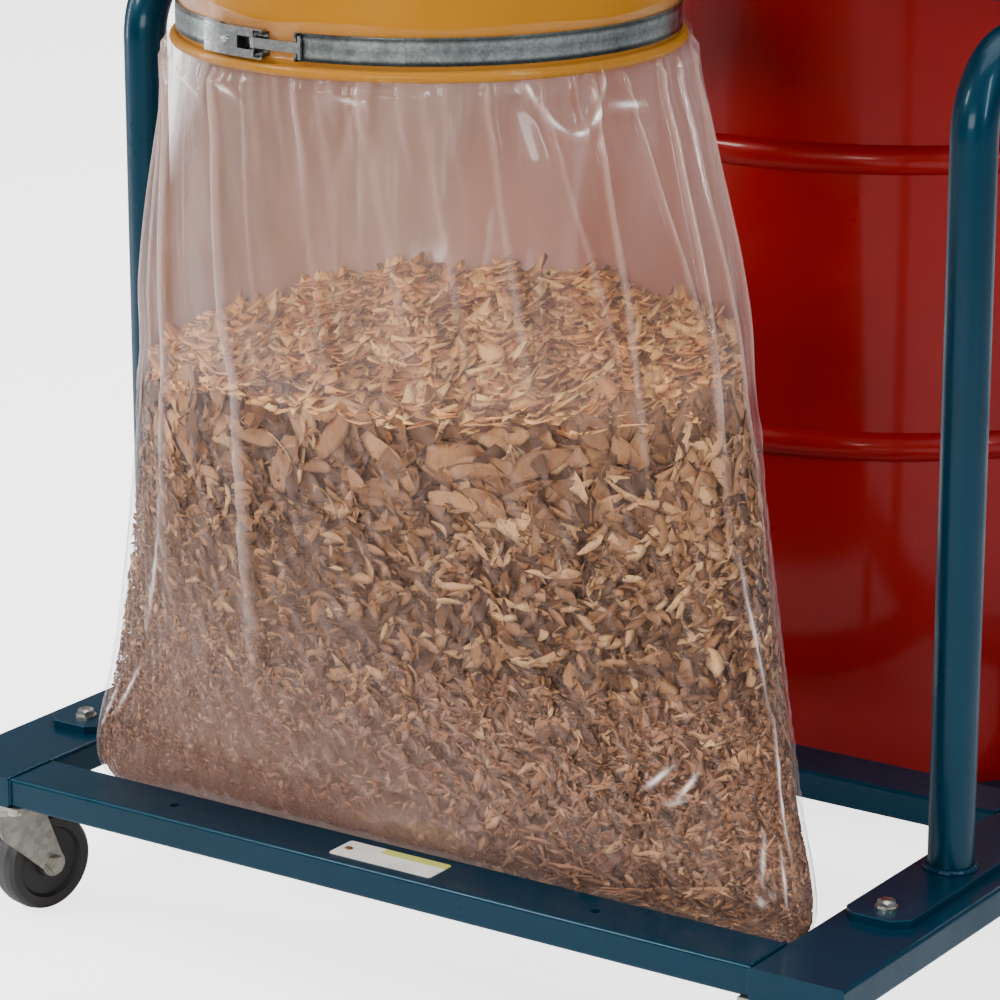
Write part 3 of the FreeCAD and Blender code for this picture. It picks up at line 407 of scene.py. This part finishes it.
def film_material():
    """Dusty polythene, led by the values that film_looks stores on the bag.  Haze is how dense the film is,
    fold and crease thicken it, crease also whitens it with stress whitening and a painted highlight, painted
    red light from the drum reddens it, dust and painted shade along the bottom edge brown and dull it, and veil
    is how much of all that is kept."""
    mat, shader = material("bag_polythene", (0.60, 0.47, 0.43), 0.20)
    dust_and_shade, crease = attribute(mat, "dust_and_shade"), attribute(mat, "crease")
    rim = add(mat, "ShaderNodeLayerWeight", Blend=0.16).outputs["Facing"]
    tint = noise(mat, 6, 3, 0.5)
    clean = ramp(mat, tint, [(0.3, (0.54, 0.33, 0.25)), (0.7, (0.60, 0.40, 0.36))])
    brown = ramp(mat, tint, [(0.3, (0.27, 0.115, 0.062)), (0.7, (0.40, 0.190, 0.115))])
    # dust, and painted shade along the folded bottom edge, brown the film
    colour = mixed(mat, dust_and_shade, clean, brown)
    # painted red light from the drum behind the bag
    colour = mixed(mat, attribute(mat, "painted_drum_red"), colour, (0.42, 0.085, 0.070))
    colour = mixed(mat, rim, colour, (0.58, 0.48, 0.55))
    # whitened creases: stress whitening and a painted highlight for their glints
    colour = mixed(mat, crease, colour, (0.92, 0.90, 0.90))
    link(mat, colour, shader.inputs["Base Color"])
    shader.inputs["Specular IOR Level"].default_value = 0.9
    link(mat, spread(mat, dust_and_shade, 1.0, 0.15, 0, 1), shader.inputs["Coat Weight"])
    shader.inputs["Coat Roughness"].default_value = 0.03
    streaks = spread(mat, noise(mat, 60, 4, 0.6, coords(mat, (1, 1, 0.06))), -0.04, 0.06)
    total = attribute(mat, "haze")
    for value, gain in ((attribute(mat, "fold"), 0.34), (crease, 0.85), (rim, 0.30), (streaks, 1.0)):
        total = maths(mat, "MULTIPLY_ADD", value, gain, total)
    dense = add(mat, "ShaderNodeClamp", Min=0.03, Max=0.985)
    link(mat, maths(mat, "MULTIPLY", total, attribute(mat, "veil")), dense.inputs["Value"])
    # the film scatters light on, so its shadow is lighter than its look
    shadow = add(mat, "ShaderNodeLightPath").outputs["Is Shadow Ray"]
    passed = spread(mat, shadow, 1.0, 0.25, 0, 1)
    link(mat, maths(mat, "MULTIPLY", passed, dense.outputs["Result"]), shader.inputs["Alpha"])
    bump(mat, shader, noise(mat, 40, 3, 0.5, coords(mat, (1, 1, 0.25))), 0.22, 0.002)
    return mat


# ---------------------------------------------------------------- bag
# The filled bag from its welded bottom to its free edge over the hood:
# height, half width, half depth, centre x, centre y, squareness (2 is an ellipse).
BAG = np.array([
    (-33.0, 372, 4, 9, 50, 2.6), (-30.0, 384, 12, 9, 50, 2.8), (-24.0, 392, 24, 9, 50, 3.0),
    (0.0, 403, 47, 9, 50, 2.8), (103.0, 378, 90, 5, 60, 2.4), (191.0, 360, 119, 3, 66, 2.2),
    (314.0, 335, 155, 2, 68, 2.1), (437.0, 309, 183, 3, 66, 2.05), (553.0, 283, 211, 4, 62, 2),
    (676.0, 246, 229, 4, 57, 2), (742.0, 231.5, 231.2, 0, 55, 2), (753.0, 231.6, 231.6, 0, 55, 2),
    (758.5, 229.6, 229.6, 0, 55, 2), (761.0, 225.0, 225.0, 0, 55, 2), (763.0, 222.7, 222.7, 0, 55, 2),
    (786.0, 222.7, 222.7, 0, 55, 2), (790.0, 222.9, 222.9, 0, 55, 2), (799.0, 224.0, 224.0, 0, 55, 2)])
FOLD_TOP = 745.0           # the folds start here, under the hood's bead
MM_PER_DEG = 4.6           # length of film to a degree round the bag
FREE_EDGE = (789, 799)     # the film's loose end above the strap, heights
CRUMPLED_AT = -128         # where that end is most crumpled, degrees

# folds that run down from the bead: angle, ridge height, width in degrees, height where it fades, slant
FOLDS = [
    (-152, 6, 2.6, 430, 1), (-138, 4, 1.8, 500, -3), (-126, 11, 3.6, 300, -3), (-118, 2, 1.4, 600, -4),
    (-105.5, 9, 2.2, 250, -2), (-97, 2, 1.2, 640, -4), (-84, 2, 2.6, 560, -3), (-68, 2, 3.0, 520, -2),
    (-56, 2, 2.2, 560, -4), (-43, 3, 2.2, 540, -7), (-31, 3, 1.5, 560, 2), (-19, 6, 1.8, 500, -9),
    (-10, 5, 1.6, 480, 4), (2, 8, 2.2, 420, -9), (12, 7, 2.2, 400, -5), (24, 6, 2.4, 450, -3),
    (42, 5, 3.0, 480, 2), (63, 4, 4.0, 500, -3), (90, 4, 5.0, 480, 2), (115, 4, 4.6, 520, -2),
    (140, 4, 5.0, 470, 3), (165, 5, 4.0, 480, -2), (180, 5, 2.6, 500, 2)]
# short creases: angle and height of both ends, ridge height, width in mm
CREASES = [
    (-47, 118, -39, 142, 3.2, 5), (-40, 112, -33, 138, 3.0, 5), (-44, 104, -37, 112, 2.0, 4),
    (-24, 40, -17, 84, 3.0, 6), (-30, 18, -20, 30, 2.5, 5), (-16, 20, -12, 70, 3.0, 6),
    (-150, 60, -141, 120, 3.0, 6), (-160, 30, -150, 96, 3.0, 6), (-16, 722, -6, 718, 3.0, 6),
    (-121, 738, -112, 722, 3.0, 5), (-104, 736, -99, 728, 3.0, 5), (-135, 740, -128, 700, 3.0, 6),
    (-8, 60, -5, 180, 3.0, 7), (-6, 190, -8, 330, 2.4, 7), (-140, 160, -132, 300, 2.0, 8),
    (-75, 736, -68, 732, 2.0, 5)]
# one deep U-shaped crease under the bead: angle and height of its lowest point, how far its ends rise over
# that, and its half width in degrees
CUP_AT, CUP_LOW, CUP_RISE, CUP_HALF = -25.5, 702.0, 42.0, 9.0


def hermite(x, xs, ys):
    """Smooth interpolation through (xs, ys) without overshoot."""
    h = np.diff(xs)
    d = np.diff(ys) / h
    m = np.zeros(len(xs))
    same = d[:-1] * d[1:] > 0
    m[1:-1][same] = 2 * d[:-1][same] * d[1:][same] / (d[:-1][same] + d[1:][same])
    m[0], m[-1] = d[0], d[-1]
    i = np.clip(np.searchsorted(xs, x) - 1, 0, len(h) - 1)
    t = (x - xs[i]) / h[i]
    return ((1 + 2 * t) * (1 - t) ** 2 * ys[i] + t * (1 - t) ** 2 * h[i] * m[i]
            + t * t * (3 - 2 * t) * ys[i + 1] + t * t * (t - 1) * h[i] * m[i + 1])


def outline(z):
    """Half width, half depth, centre x, centre y and squareness of the bag at heights z."""
    return [hermite(z, BAG[:, 0], BAG[:, k]) for k in range(1, 6)]


def bag_point(t, z, inset=0.0):
    """Point of the bag's outline at parameter t (radians) and height z, both arrays of one shape."""
    a, b, cx, cy, p = outline(z)
    c, s = np.cos(t), np.sin(t)
    x = cx + np.sign(c) * np.abs(c) ** (2 / p) * np.maximum(a - inset, 1)
    y = cy + np.sign(s) * np.abs(s) ** (2 / p) * np.maximum(b - inset, 1)
    return np.stack([x, y, z], -1)


def keep_inside(points, inset):
    """Points moved in to the bag's outline, drawn in by inset, where they stand out of it."""
    a, b, cx, cy, p = outline(points[..., 2])
    dx, dy = points[..., 0] - cx, points[..., 1] - cy
    out = (np.abs(dx) / np.maximum(a - inset, 1)) ** p + (np.abs(dy) / np.maximum(b - inset, 1)) ** p
    k = np.where(out > 1, np.maximum(out, 1) ** (-1 / p), 1.0)
    points[..., 0], points[..., 1] = cx + dx * k, cy + dy * k
    return points


def wrap_deg(d):
    return (d + 180.0) % 360.0 - 180.0


def crease_reach(deg, z, crease):
    """Squared distance to a short crease in mm, and how far along it the nearest point lies, 0 to 1."""
    a0, z0, a1, z1 = crease[:4]
    ax, az = wrap_deg(deg - a0) * MM_PER_DEG, z - z0
    bx, bz = (a1 - a0) * MM_PER_DEG, z1 - z0
    t = np.clip((ax * bx + az * bz) / (bx * bx + bz * bz), 0, 1)
    return (ax - t * bx) ** 2 + (az - t * bz) ** 2, t


def cup_reach(deg, z):
    """Squared distance to the U-shaped crease in mm, and the angle from its middle."""
    off = wrap_deg(deg - CUP_AT)
    line = CUP_LOW + CUP_RISE * (off / CUP_HALF) ** 2
    slope = 2 * CUP_RISE * off / CUP_HALF ** 2 / MM_PER_DEG
    return (z - line) ** 2 / (1 + slope ** 2), off


def fold_height(deg, z, gathers):
    """How far the film stands out from its outline, in mm."""
    d = np.zeros_like(z)
    below = 1 - smoothstep(FOLD_TOP - 7, FOLD_TOP + 4, z)
    for angle, high, wide, low, slant in FOLDS:
        centre = angle + slant * (FOLD_TOP - z) / 300
        broad = 0.42 + 0.55 * smoothstep(0, 500, FOLD_TOP - z)
        ridge = np.exp(-np.abs(wrap_deg(deg - centre) / (wide * broad)) ** 1.8)
        d += high * ridge * smoothstep(low - 190, low + 60, z) * (0.35 + 0.65 * below)
    for angle, high, wide, reach in gathers:
        ridge = np.exp(-np.abs(wrap_deg(deg - angle) / wide) ** 1.5)
        d += high * ridge * smoothstep(FOLD_TOP - reach, FOLD_TOP, z)
    for crease in CREASES:
        high, wide = crease[4:]
        d += high * np.exp(-crease_reach(deg, z, crease)[0] / wide ** 2)
    away, off = cup_reach(deg, z)
    d += 4.5 * np.exp(-away / 30.0) * (np.abs(off) < CUP_HALF + 1)
    # soft waves where the film hangs free
    loose = smoothstep(440, 520, z) * below
    wave = np.sin(np.radians(deg * 7 + z * 0.25)) + 0.7 * np.sin(np.radians(deg * 11 - z * 0.4 + 40))
    wave += 0.5 * np.sin(np.radians(deg * 19 + z * 0.6 + 80))
    d += loose * 1.7 * (wave + 2.2)
    # lumps where the chips press on it
    packed = (1 - smoothstep(400, 480, z)) * smoothstep(-24, 30, z)
    lump = 1.0 + np.sin(deg * 0.9 + z * 0.05) * np.sin(z * 0.11 + deg * 0.31)
    lump += 0.6 * np.sin(deg * 2.3 - z * 0.17) * np.sin(z * 0.23)
    return d + packed * 1.1 * lump


def crease_whitening_and_glints(deg, z):
    """Where the film is whitened along its sharpest creases, 0 to 1: stress whitening and a painted highlight
    for their glints.
    """
    d = np.zeros_like(z)
    for crease in CREASES:
        high, wide = crease[4:]
        away, along = crease_reach(deg, z, crease)
        d += np.exp(-away / (0.40 * wide) ** 2) * (0.25 + 0.75 * np.sin(np.pi * along) ** 2) * high / 3.2
    away, off = cup_reach(deg, z)
    streak = 0.55 + 0.45 * np.sin(off * 1.3 + 1.0)
    d += 1.1 * np.exp(-away / 3.0) * (np.abs(off) < CUP_HALF + 0.5) * streak
    return np.clip(d, 0, 1)


def crumple(deg):
    """How crumpled the free edge is at an angle, 0 to 1."""
    return np.exp(-(wrap_deg(deg - CRUMPLED_AT) / 34) ** 2)


def film_grid():
    """Angles and heights of the film's vertices, closest where it is creased."""
    front = np.linspace(-165, 45, 500, endpoint=False)
    back = np.linspace(45, 195, 130, endpoint=False)
    bottom_weld = [-33, -30, -24, -16, -8]
    over_hood = [745, 749, 753, 756, 758.5, 760, 761.5, 763, 775, 786, 790, 793.5, 796.5, 799]
    spans = ((0, 90, 12), (90, 150, 24), (150, 690, 74), (690, 745, 26))
    filled = [np.linspace(low, high, count, endpoint=False) for low, high, count in spans]
    return np.meshgrid(np.concatenate([front, back]), np.concatenate([bottom_weld, *filled, over_hood]))


def film_points(deg, z, high):
    """The film's vertices: the outline, the folds, and the crumpled free edge above the strap."""
    t = np.radians(deg)
    a, b = outline(z)[:2]
    normal = unit(np.stack([np.cos(t) / np.maximum(a, 1), np.sin(t) / np.maximum(b, 1), 0 * z], -1))
    points = bag_point(t, z) + normal * high[..., None]
    edge = smoothstep(*FREE_EDGE, z)
    loose = 0.25 + 0.75 * crumple(deg)
    ruffle = np.abs(np.sin(np.radians(deg * 13)) + 0.6 * np.sin(np.radians(deg * 29 + 30)))
    points += normal * (edge * loose * (1.5 + 3.2 * ruffle))[..., None]
    points[..., 2] += edge * (loose * 5.0 * np.sin(np.radians(deg * 9 + 20)) - 6.0 * (1 - loose))
    return points


def film_looks(deg, z, points, high):
    """The values that lead the film's material, one of each for every vertex."""
    x, y = points[..., 0], points[..., 1]
    # rear is the film behind the heap, drawn dense and brown above the chips
    rear = smoothstep(30, 150, y - 0.35 * x)
    heap = heap_top(x, y) - 50 * rear
    above = smoothstep(heap - 14, heap + 26, z)
    dense = 0.96 - 0.12 * smoothstep(0, 120, x)
    # painted red light from the drum, on the film behind the heap
    painted_drum_red = 0.42 * rear * above * smoothstep(-130, -40, x) * (1 - 0.6 * smoothstep(150, 260, x))
    # dust clings low down at the front left; the folded bottom edge is drawn denser and browner, painted shade
    left = 1 - smoothstep(-125, -55, deg)
    dusty = (1 - smoothstep(60, 340, z)) * left * (1 - rear)
    hem_shade = (1 - smoothstep(8, 52, z)) * smoothstep(-160, -140, deg) * (1 - smoothstep(-100, -70, deg))
    haze = 0.02 + above * (0.11 * (1 - rear) + dense * rear)
    haze += 0.06 * (1 - smoothstep(0, 160, z)) + 0.16 * dusty
    haze = np.where(z > 765, 0.04 + 0.25 * crumple(deg), haze) + 0.32 * hem_shade
    # a fold shows where it stands out from the film on both sides of it
    soft = sum(np.roll(high, k, axis=1) for k in range(-6, 7)) / 13
    ridge = (np.clip((high - soft) / 3.0, 0, 1) + 0.10 * np.clip(high / 9.0, 0, 1)) * (1 - 0.85 * rear)
    below_band = 1 - smoothstep(742, 748, z)
    return {
        "haze": haze,
        "fold": np.clip(ridge, 0, 1),
        "crease": crease_whitening_and_glints(deg, z) * below_band,
        "painted_drum_red": painted_drum_red,
        "dust_and_shade": np.clip(rear * above + 0.6 * hem_shade + 0.6 * dusty, 0, 1),
        "veil": 1 - 0.9 * smoothstep(744, 752, z) * (1 - smoothstep(761, 765, z))}


def make_bag():
    gathers = [(rng.uniform(-180, 180), rng.uniform(0.8, 2.6), rng.uniform(0.5, 1.3), rng.uniform(40, 170))
               for _ in range(110)]
    deg, z = film_grid()
    high = fold_height(deg, z, gathers) * (1 - smoothstep(758.5, 762.0, z))
    points = film_points(deg, z, high)
    obj = quad_object("bag_polythene_film", to_frame(points.reshape(-1, 3)), grid_quads(*deg.shape))
    for name, values in film_looks(deg, z, points, high).items():
        layer = obj.data.attributes.new(name, "FLOAT", "POINT")
        layer.data.foreach_set("value", values.ravel().astype(np.float32))
    obj.data.materials.append(film_material())
    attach(obj, "cart")
    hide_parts("bag_film")


# ---------------------------------------------------------------- chips
HEAP_MIDDLE = np.array([3, 66, 0])
CORE_INSET = 15            # the core stands back from the film by this
CORE_RIM_Z = 450.0         # the heap meets the film near this height
# tones of the flakes, from the darkest to the lightest
TONES_LIGHT = [
    (0.0, (0.05, 0.017, 0.005)), (0.18, (0.14, 0.053, 0.017)), (0.45, (0.26, 0.112, 0.040)),
    (0.75, (0.39, 0.182, 0.074)), (1.0, (0.70, 0.41, 0.19))]
TONES_FINE = [
    (0.0, (0.10, 0.036, 0.015)), (0.3, (0.24, 0.098, 0.045)), (0.7, (0.37, 0.168, 0.082)),
    (1.0, (0.58, 0.31, 0.165))]
# the heap top's flakes, painted lighter and warmer: painted light for the light that falls on the heap top
TONES_PAINTED_LIT = [(0.0, (0.46, 0.170, 0.045)), (0.4, (0.90, 0.41, 0.120)), (1.0, (1.0, 0.62, 0.25))]


def heap_top(x, y):
    """Height of the heap: a low mound that rises to the back and falls off at both ends."""
    slope = 459 + 0.035 * x + 0.13 * (y - 20) - 13 * (x / 300) ** 2 - 22 * (x / 300) ** 6
    return slope + 7 * np.sin(x * 0.021 + 1.0) * np.sin(y * 0.027) + 4 * np.sin(x * 0.06 + y * 0.045)


def core_side(row, part, deg):
    """One row of the core's side.  Part is its height in mm up to 1, and per cent of the heap's over that."""
    t = np.radians(deg)
    if part <= 1:
        p = bag_point(t, np.full(len(deg), part), 6)
    else:
        edge = bag_point(t, np.full(len(deg), CORE_RIM_Z), CORE_INSET)
        p = bag_point(t, (part / 100.0) * (heap_top(edge[:, 0], edge[:, 1]) - 12), CORE_INSET)
    rough = 2.2 * np.sin(deg * 1.7 + row * 1.3) * np.sin(deg * 0.83 - row * 0.9)
    rough += rng.normal(0, 1.3, len(deg))
    p[:, :2] += unit(p[:, :2] - (5, 60)) * rough[:, None]
    return p


def make_chips_core():
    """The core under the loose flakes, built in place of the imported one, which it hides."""
    columns = 240
    deg = np.linspace(-180, 180, columns, endpoint=False)
    parts = np.concatenate([np.linspace(-26, 1, 4), np.linspace(8, 100, 70)])
    verts = [core_side(row, part, deg) for row, part in enumerate(parts)]
    rim = verts[-1]
    for k in np.linspace(0.97, 0.02, 40):
        p = HEAP_MIDDLE * (1 - k) + rim * k
        p[:, 2] = heap_top(p[:, 0], p[:, 1]) - 10 + rng.normal(0, 2.0, columns)
        verts.append(p)
    quads = grid_quads(len(verts), columns)
    obj = quad_object("chips_core", to_frame(np.array(verts).reshape(-1, 3)), quads, False)
    obj.data.materials.append(sawdust())
    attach(obj, "cart")
    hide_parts("chips_fill")


def flake_grid(nu, nv):
    """A flake's grid from -1 to 1 each way, which vertices have a twin below, and the quads of both faces."""
    u, v = np.meshgrid(np.linspace(-1, 1, nu + 1), np.linspace(-1, 1, nv + 1), indexing="ij")
    u, v = u.ravel(), v.ravel()
    n = len(u)
    top = grid_quads(nu + 1, nv + 1, False)
    inner = (np.abs(u) < 0.999) & (np.abs(v) < 0.999)
    under = np.arange(n)
    under[inner] = n + np.arange(inner.sum())
    return u, v, inner, np.vstack([top, under[top][:, ::-1]])


def make_flakes(name, place, normal, length, width, mat, grid, tilt):
    """Thin curled flakes at the given places, closed shells that share their rim."""
    count = len(place)
    u, v, inner, quads = flake_grid(*grid)
    long, wide = length[:, None] / 2, width[:, None] / 2
    pointed = rng.uniform(0.45, 1.0, (count, 1))
    skew = rng.uniform(-0.35, 0.35, (count, 1))
    taper = 1 - pointed * np.abs(u) ** 1.6 + rng.normal(0, 0.06, (count, len(u)))
    x = long * u + rng.normal(0, 0.03, (count, len(u))) * long
    y = wide * v * np.clip(taper, 0.05, 1.2) + skew * wide * u ** 2
    curl = rng.uniform(-0.15, 0.40, (count, 1)) * long
    cross = rng.uniform(-0.3, 0.6, (count, 1)) * wide
    twist = rng.uniform(-0.5, 0.5, (count, 1))
    z = curl * u ** 2 + cross * v ** 2 + twist * u * y * 0.6
    top = np.stack([x, y, z], -1)
    thick = np.clip(width * 0.05, 0.35, 1.1)[:, None, None]
    local = np.concatenate([top, top[:, inner] - np.array([0, 0, 1.0]) * thick], 1)
    # each flake lies on the surface, a little tilted, and is turned at random about its normal
    ez = unit(normal + rng.normal(0, 1, normal.shape) * tilt * 0.6)
    ex = unit(np.cross(rng.normal(0, 1, ez.shape), ez))
    ey = np.cross(ez, ex)
    world = place[:, None] + local[..., :1] * ex[:, None] + local[..., 1:2] * ey[:, None]
    world = keep_inside(world + local[..., 2:] * ez[:, None], 2.5)
    faces = (quads + (np.arange(count) * world.shape[1])[:, None, None]).reshape(-1, 4)
    obj = quad_object(name, to_frame(world.reshape(-1, 3)), faces, True)
    obj.data.materials.append(mat)
    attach(obj, "cart")


def skin_places(count, heights, angles, inset, depth):
    """Random places on the inside of the bag, up to the top of the heap, with the outward normal."""
    t = np.radians(rng.uniform(*angles, count))
    z = rng.uniform(*heights, count)
    p = bag_point(t, z, inset)
    up = bag_point(t, z + 4, inset)
    side = bag_point(t + 0.01, z, inset)
    normal = unit(np.cross(side - p, up - p))
    p = p - normal * rng.uniform(0, depth, count)[:, None]
    keep = z < heap_top(p[:, 0], p[:, 1]) + 4
    return p[keep], normal[keep]


def make_layer(name, count, heights, angles, inset, depth, size_at, slim, mat, grid, tilt):
    """Flakes that lie against the film between two heights and two angles."""
    p, normal = skin_places(count, heights, angles, inset, depth)
    size = size_at(p)
    make_flakes(name, p, normal, size, size * rng.uniform(*slim, len(p)), mat, grid, tilt)


def make_heap_top(mat):
    count = 3000
    r = np.sqrt(rng.uniform(0, 1, count)) * 0.985
    t = rng.uniform(-np.pi, np.pi, count)
    rim = bag_point(t, np.full(count, CORE_RIM_Z + 12), 6)
    p = HEAP_MIDDLE * (1 - r[:, None]) + rim * r[:, None]
    p[:, 2] = heap_top(p[:, 0], p[:, 1]) + rng.uniform(-6, 8, count)
    up = np.tile((-0.15, -0.16, 1.0), (count, 1))
    length = rng.uniform(26, 58, count)
    width = rng.uniform(11, 24, count)
    make_flakes("chips_top", p, up, length, width, mat, (4, 2), 0.30)


def upper_size(p):
    size = 22 + 46 * smoothstep(310, 400, p[:, 2]) * rng.uniform(0.35, 1, len(p))
    return size * (1 - 0.35 * smoothstep(-200, -330, p[:, 0]))


def middle_size(p):
    return rng.uniform(13, 34, len(p)) * (0.5 + 0.5 * smoothstep(-300, 60, p[:, 0]))


def fines_size(p):
    return rng.uniform(6, 22, len(p)) * (0.45 + 0.85 * smoothstep(-260, 260, p[:, 0]))


def rear_size(p):
    return rng.uniform(10, 36, len(p)) * (0.5 + 0.5 * smoothstep(0, 400, p[:, 2]))


def make_chips():
    """The core, flakes on top of it, and flakes all round it against the film.  Big curled ones lie near the
    heap's edge, smaller ones lower down and fines at the bottom."""
    make_chips_core()
    light = wood_chips("chip_wood", TONES_LIGHT)
    fine = wood_chips("chip_fines", TONES_FINE)
    # the heap top's flakes take the painted light tones
    make_heap_top(wood_chips("chip_wood_painted_lit", TONES_PAINTED_LIT))
    # name, how many, heights, angles, inset and depth in mm, sizes, width to length, material, grid, tilt
    make_layer("chips_front_upper", 1150, (300, 520), (-172, 40), 5, 16,
               upper_size, (0.34, 0.60), light, (6, 4), 0.46)
    make_layer("chips_front_middle", 3900, (130, 370), (-175, 40), 4, 12,
               middle_size, (0.26, 0.5), light, (4, 2), 0.55)
    make_layer("chips_front_fines", 9500, (-15, 200), (-178, 40), 4, 7,
               fines_size, (0.3, 0.55), fine, (2, 2), 0.45)
    make_layer("chips_rear", 8500, (-15, 520), (35, 185), 5, 8,
               rear_size, (0.3, 0.5), light, (2, 2), 0.45)


# ---------------------------------------------------------------- welds and the label's screw
POST_X = 458.0             # centre lines of the hoops' posts
POST_Y = (("front", 221.0), ("rear", 1066.0))
POST_WELD_R = 22.4         # the hoops' tube radius and a bit over
FOOT_TOP = 9.2             # just over the foot plates
RAIL_END_X = 416.5         # where the front and cross rails meet the side rails
RAIL_WELDS = (("front", -63, -2), ("cross", 389, 449))     # each rail's weld, from front to back
FRONT_FACE_Y = -65.3       # just before the front rail's face


def weld(name, path, radius, mat, closed=False):
    """A rippled weld bead along a path of points (cart frame, mm)."""
    path = np.asarray(path, float)
    step = np.linalg.norm(np.diff(path, axis=0), axis=1)
    s = np.concatenate([[0], np.cumsum(step)])
    n = max(12, int(s[-1] / 1.3))
    q = np.linspace(0, s[-1], n, endpoint=not closed)
    p = np.stack([np.interp(q, s, path[:, k]) for k in range(3)], -1)
    tangent = unit(np.roll(p, -1, 0) - np.roll(p, 1, 0) if closed else np.gradient(p, axis=0))
    upright = abs(tangent[0, 2]) > 0.9
    side = unit(np.cross(tangent, (1.0, 0, 0) if upright else (0, 0, 1.0)))
    lift = np.cross(side, tangent)
    sides = 8
    a = np.linspace(0, 2 * np.pi, sides, endpoint=False)[None, :, None]
    r = radius * (1 + 0.16 * np.abs(np.sin(q * 0.75)) + rng.normal(0, 0.05, n))
    if not closed:
        r *= np.clip(np.minimum(q, s[-1] - q) / 3 + 0.3, 0, 1)
    bead = p[:, None] + r[:, None, None] * (np.cos(a) * side[:, None] + np.sin(a) * lift[:, None])
    obj = quad_object(name, to_frame(bead.reshape(-1, 3)), grid_quads(n, sides, ring=closed))
    obj.data.materials.append(mat)
    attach(obj, "cart")


def make_welds(blue):
    turn = np.linspace(0, 2 * np.pi, 64)[:-1]
    for side, sign in (("left", -1), ("right", 1)):
        for end, y in POST_Y:
            x_round = sign * POST_X + POST_WELD_R * np.cos(turn)
            ring = np.stack([x_round, y + POST_WELD_R * np.sin(turn), np.full(len(turn), FOOT_TOP)], -1)
            weld("weld_post_%s_%s" % (side, end), ring, 3.0, blue, True)
        x = sign * RAIL_END_X
        for rail, y0, y1 in RAIL_WELDS:
            weld("weld_%s_rail_%s" % (rail, side), [(x, y0, 0.2), (x, y1, 0.2)], 1.9, blue)
        weld("weld_front_face_%s" % side, [(x, FRONT_FACE_Y, -2), (x, FRONT_FACE_Y, -28)], 1.9, blue)


def make_label_screw():
    """A brown pan-head screw with a slot at the label's left end."""
    low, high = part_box("label_plate")
    middle = np.array([low.x + 0.010, (low.y + high.y) / 2, high.z])
    head_radius, head_height = 0.0042, 0.0016
    slot_half, slot_depth = 0.0006, 0.0008
    turns, rings = 32, 9
    a = np.linspace(0, 2 * np.pi, turns, endpoint=False)
    verts = []
    for k in np.linspace(0.02, 1, rings):
        x, y = head_radius * k * np.cos(a), head_radius * k * np.sin(a)
        z = head_height * np.sqrt(np.maximum(1 - k ** 3, 0)) - slot_depth * (np.abs(y) < slot_half)
        verts.append(np.stack([x, y, np.maximum(z, 0)], -1) + middle)
    obj = quad_object("label_screw", np.array(verts).reshape(-1, 3), grid_quads(rings, turns)[:, ::-1])
    obj.data.materials.append(zinc("browned_steel", (0.30, 0.17, 0.09), 0.35, False))
    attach(obj, "cart")


# ---------------------------------------------------------------- finishes of the CAD nodes
def slot_looks():
    """The material of each slot.  Film and chips have none, as other pieces stand for their nodes."""
    return {
        "cart_paint": paint("blue_enamel", (0.0, 0.018, 0.037), 0.34,
                            coat=0.18, dust=0.02, wave=0.08, sheen=(0.30, 0.75, 1.0)),
        "hood_paint": paint("yellow_enamel", (0.35, 0.142, 0.0005), 0.38,
                            coat=0.12, dust=0.02, wave=0.05, sheen=(1.0, 0.85, 0.55)),
        "drum_paint": paint("red_enamel", (0.21, 0.0006, 0.0012), 0.34,
                            coat=0.20, dust=0.0, wave=0.02, sheen=(1.0, 0.5, 0.5)),
        "motor_paint": paint("motor_enamel", (0.05, 0.10, 0.13), 0.40,
                             coat=0.3, dust=0.2, wave=0.05, sheen=WHITE),
        "zinc": zinc("plated_steel", (0.46, 0.46, 0.43), 0.36),
        "black_plastic": plastic("black_nylon", (0.018, 0.018, 0.020), 0.42),
        "grey_plastic": plastic("switch_grey", (0.30, 0.31, 0.31), 0.45),
        "rubber": plastic("rubber", (0.020, 0.020, 0.021), 0.7, 300),
        "green_plastic": plastic("green_button", (0.02, 0.24, 0.06), 0.25),
        "red_plastic": plastic("red_button", (0.50, 0.012, 0.010), 0.25),
        "aluminium": zinc("cast_aluminium", (0.62, 0.63, 0.64), 0.45, False),
        "filter_paper": paper("filter_paper"),
        "label": label_material(),
        "film": None,
        "chips": None}


def paint_nodes():
    looks = slot_looks()
    latch = zinc("latch_steel", (0.34, 0.36, 0.36), 0.24, False)
    strap = strap_steel("strap_steel", "band_strap")
    fork = zinc("fork_steel", (0.40, 0.40, 0.36), 0.42)
    slots = {s["node"]: s["material_slot"] for s in frame["record"]["subparts"]}
    for name, obj in NODES.items():
        mat = looks[slots[name]]
        if name.startswith("band_"):
            mat = strap if name == "band_strap" else latch
        if name.endswith("_fork") or name.endswith("_plate") and name.startswith("caster"):
            mat = fork
        if mat is not None:
            obj.data.materials.clear()
            obj.data.materials.append(mat)
    return looks["cart_paint"]


make_camera()
make_stage()
blue = paint_nodes()
make_bag()
make_chips()
make_welds(blue)
make_label_screw()
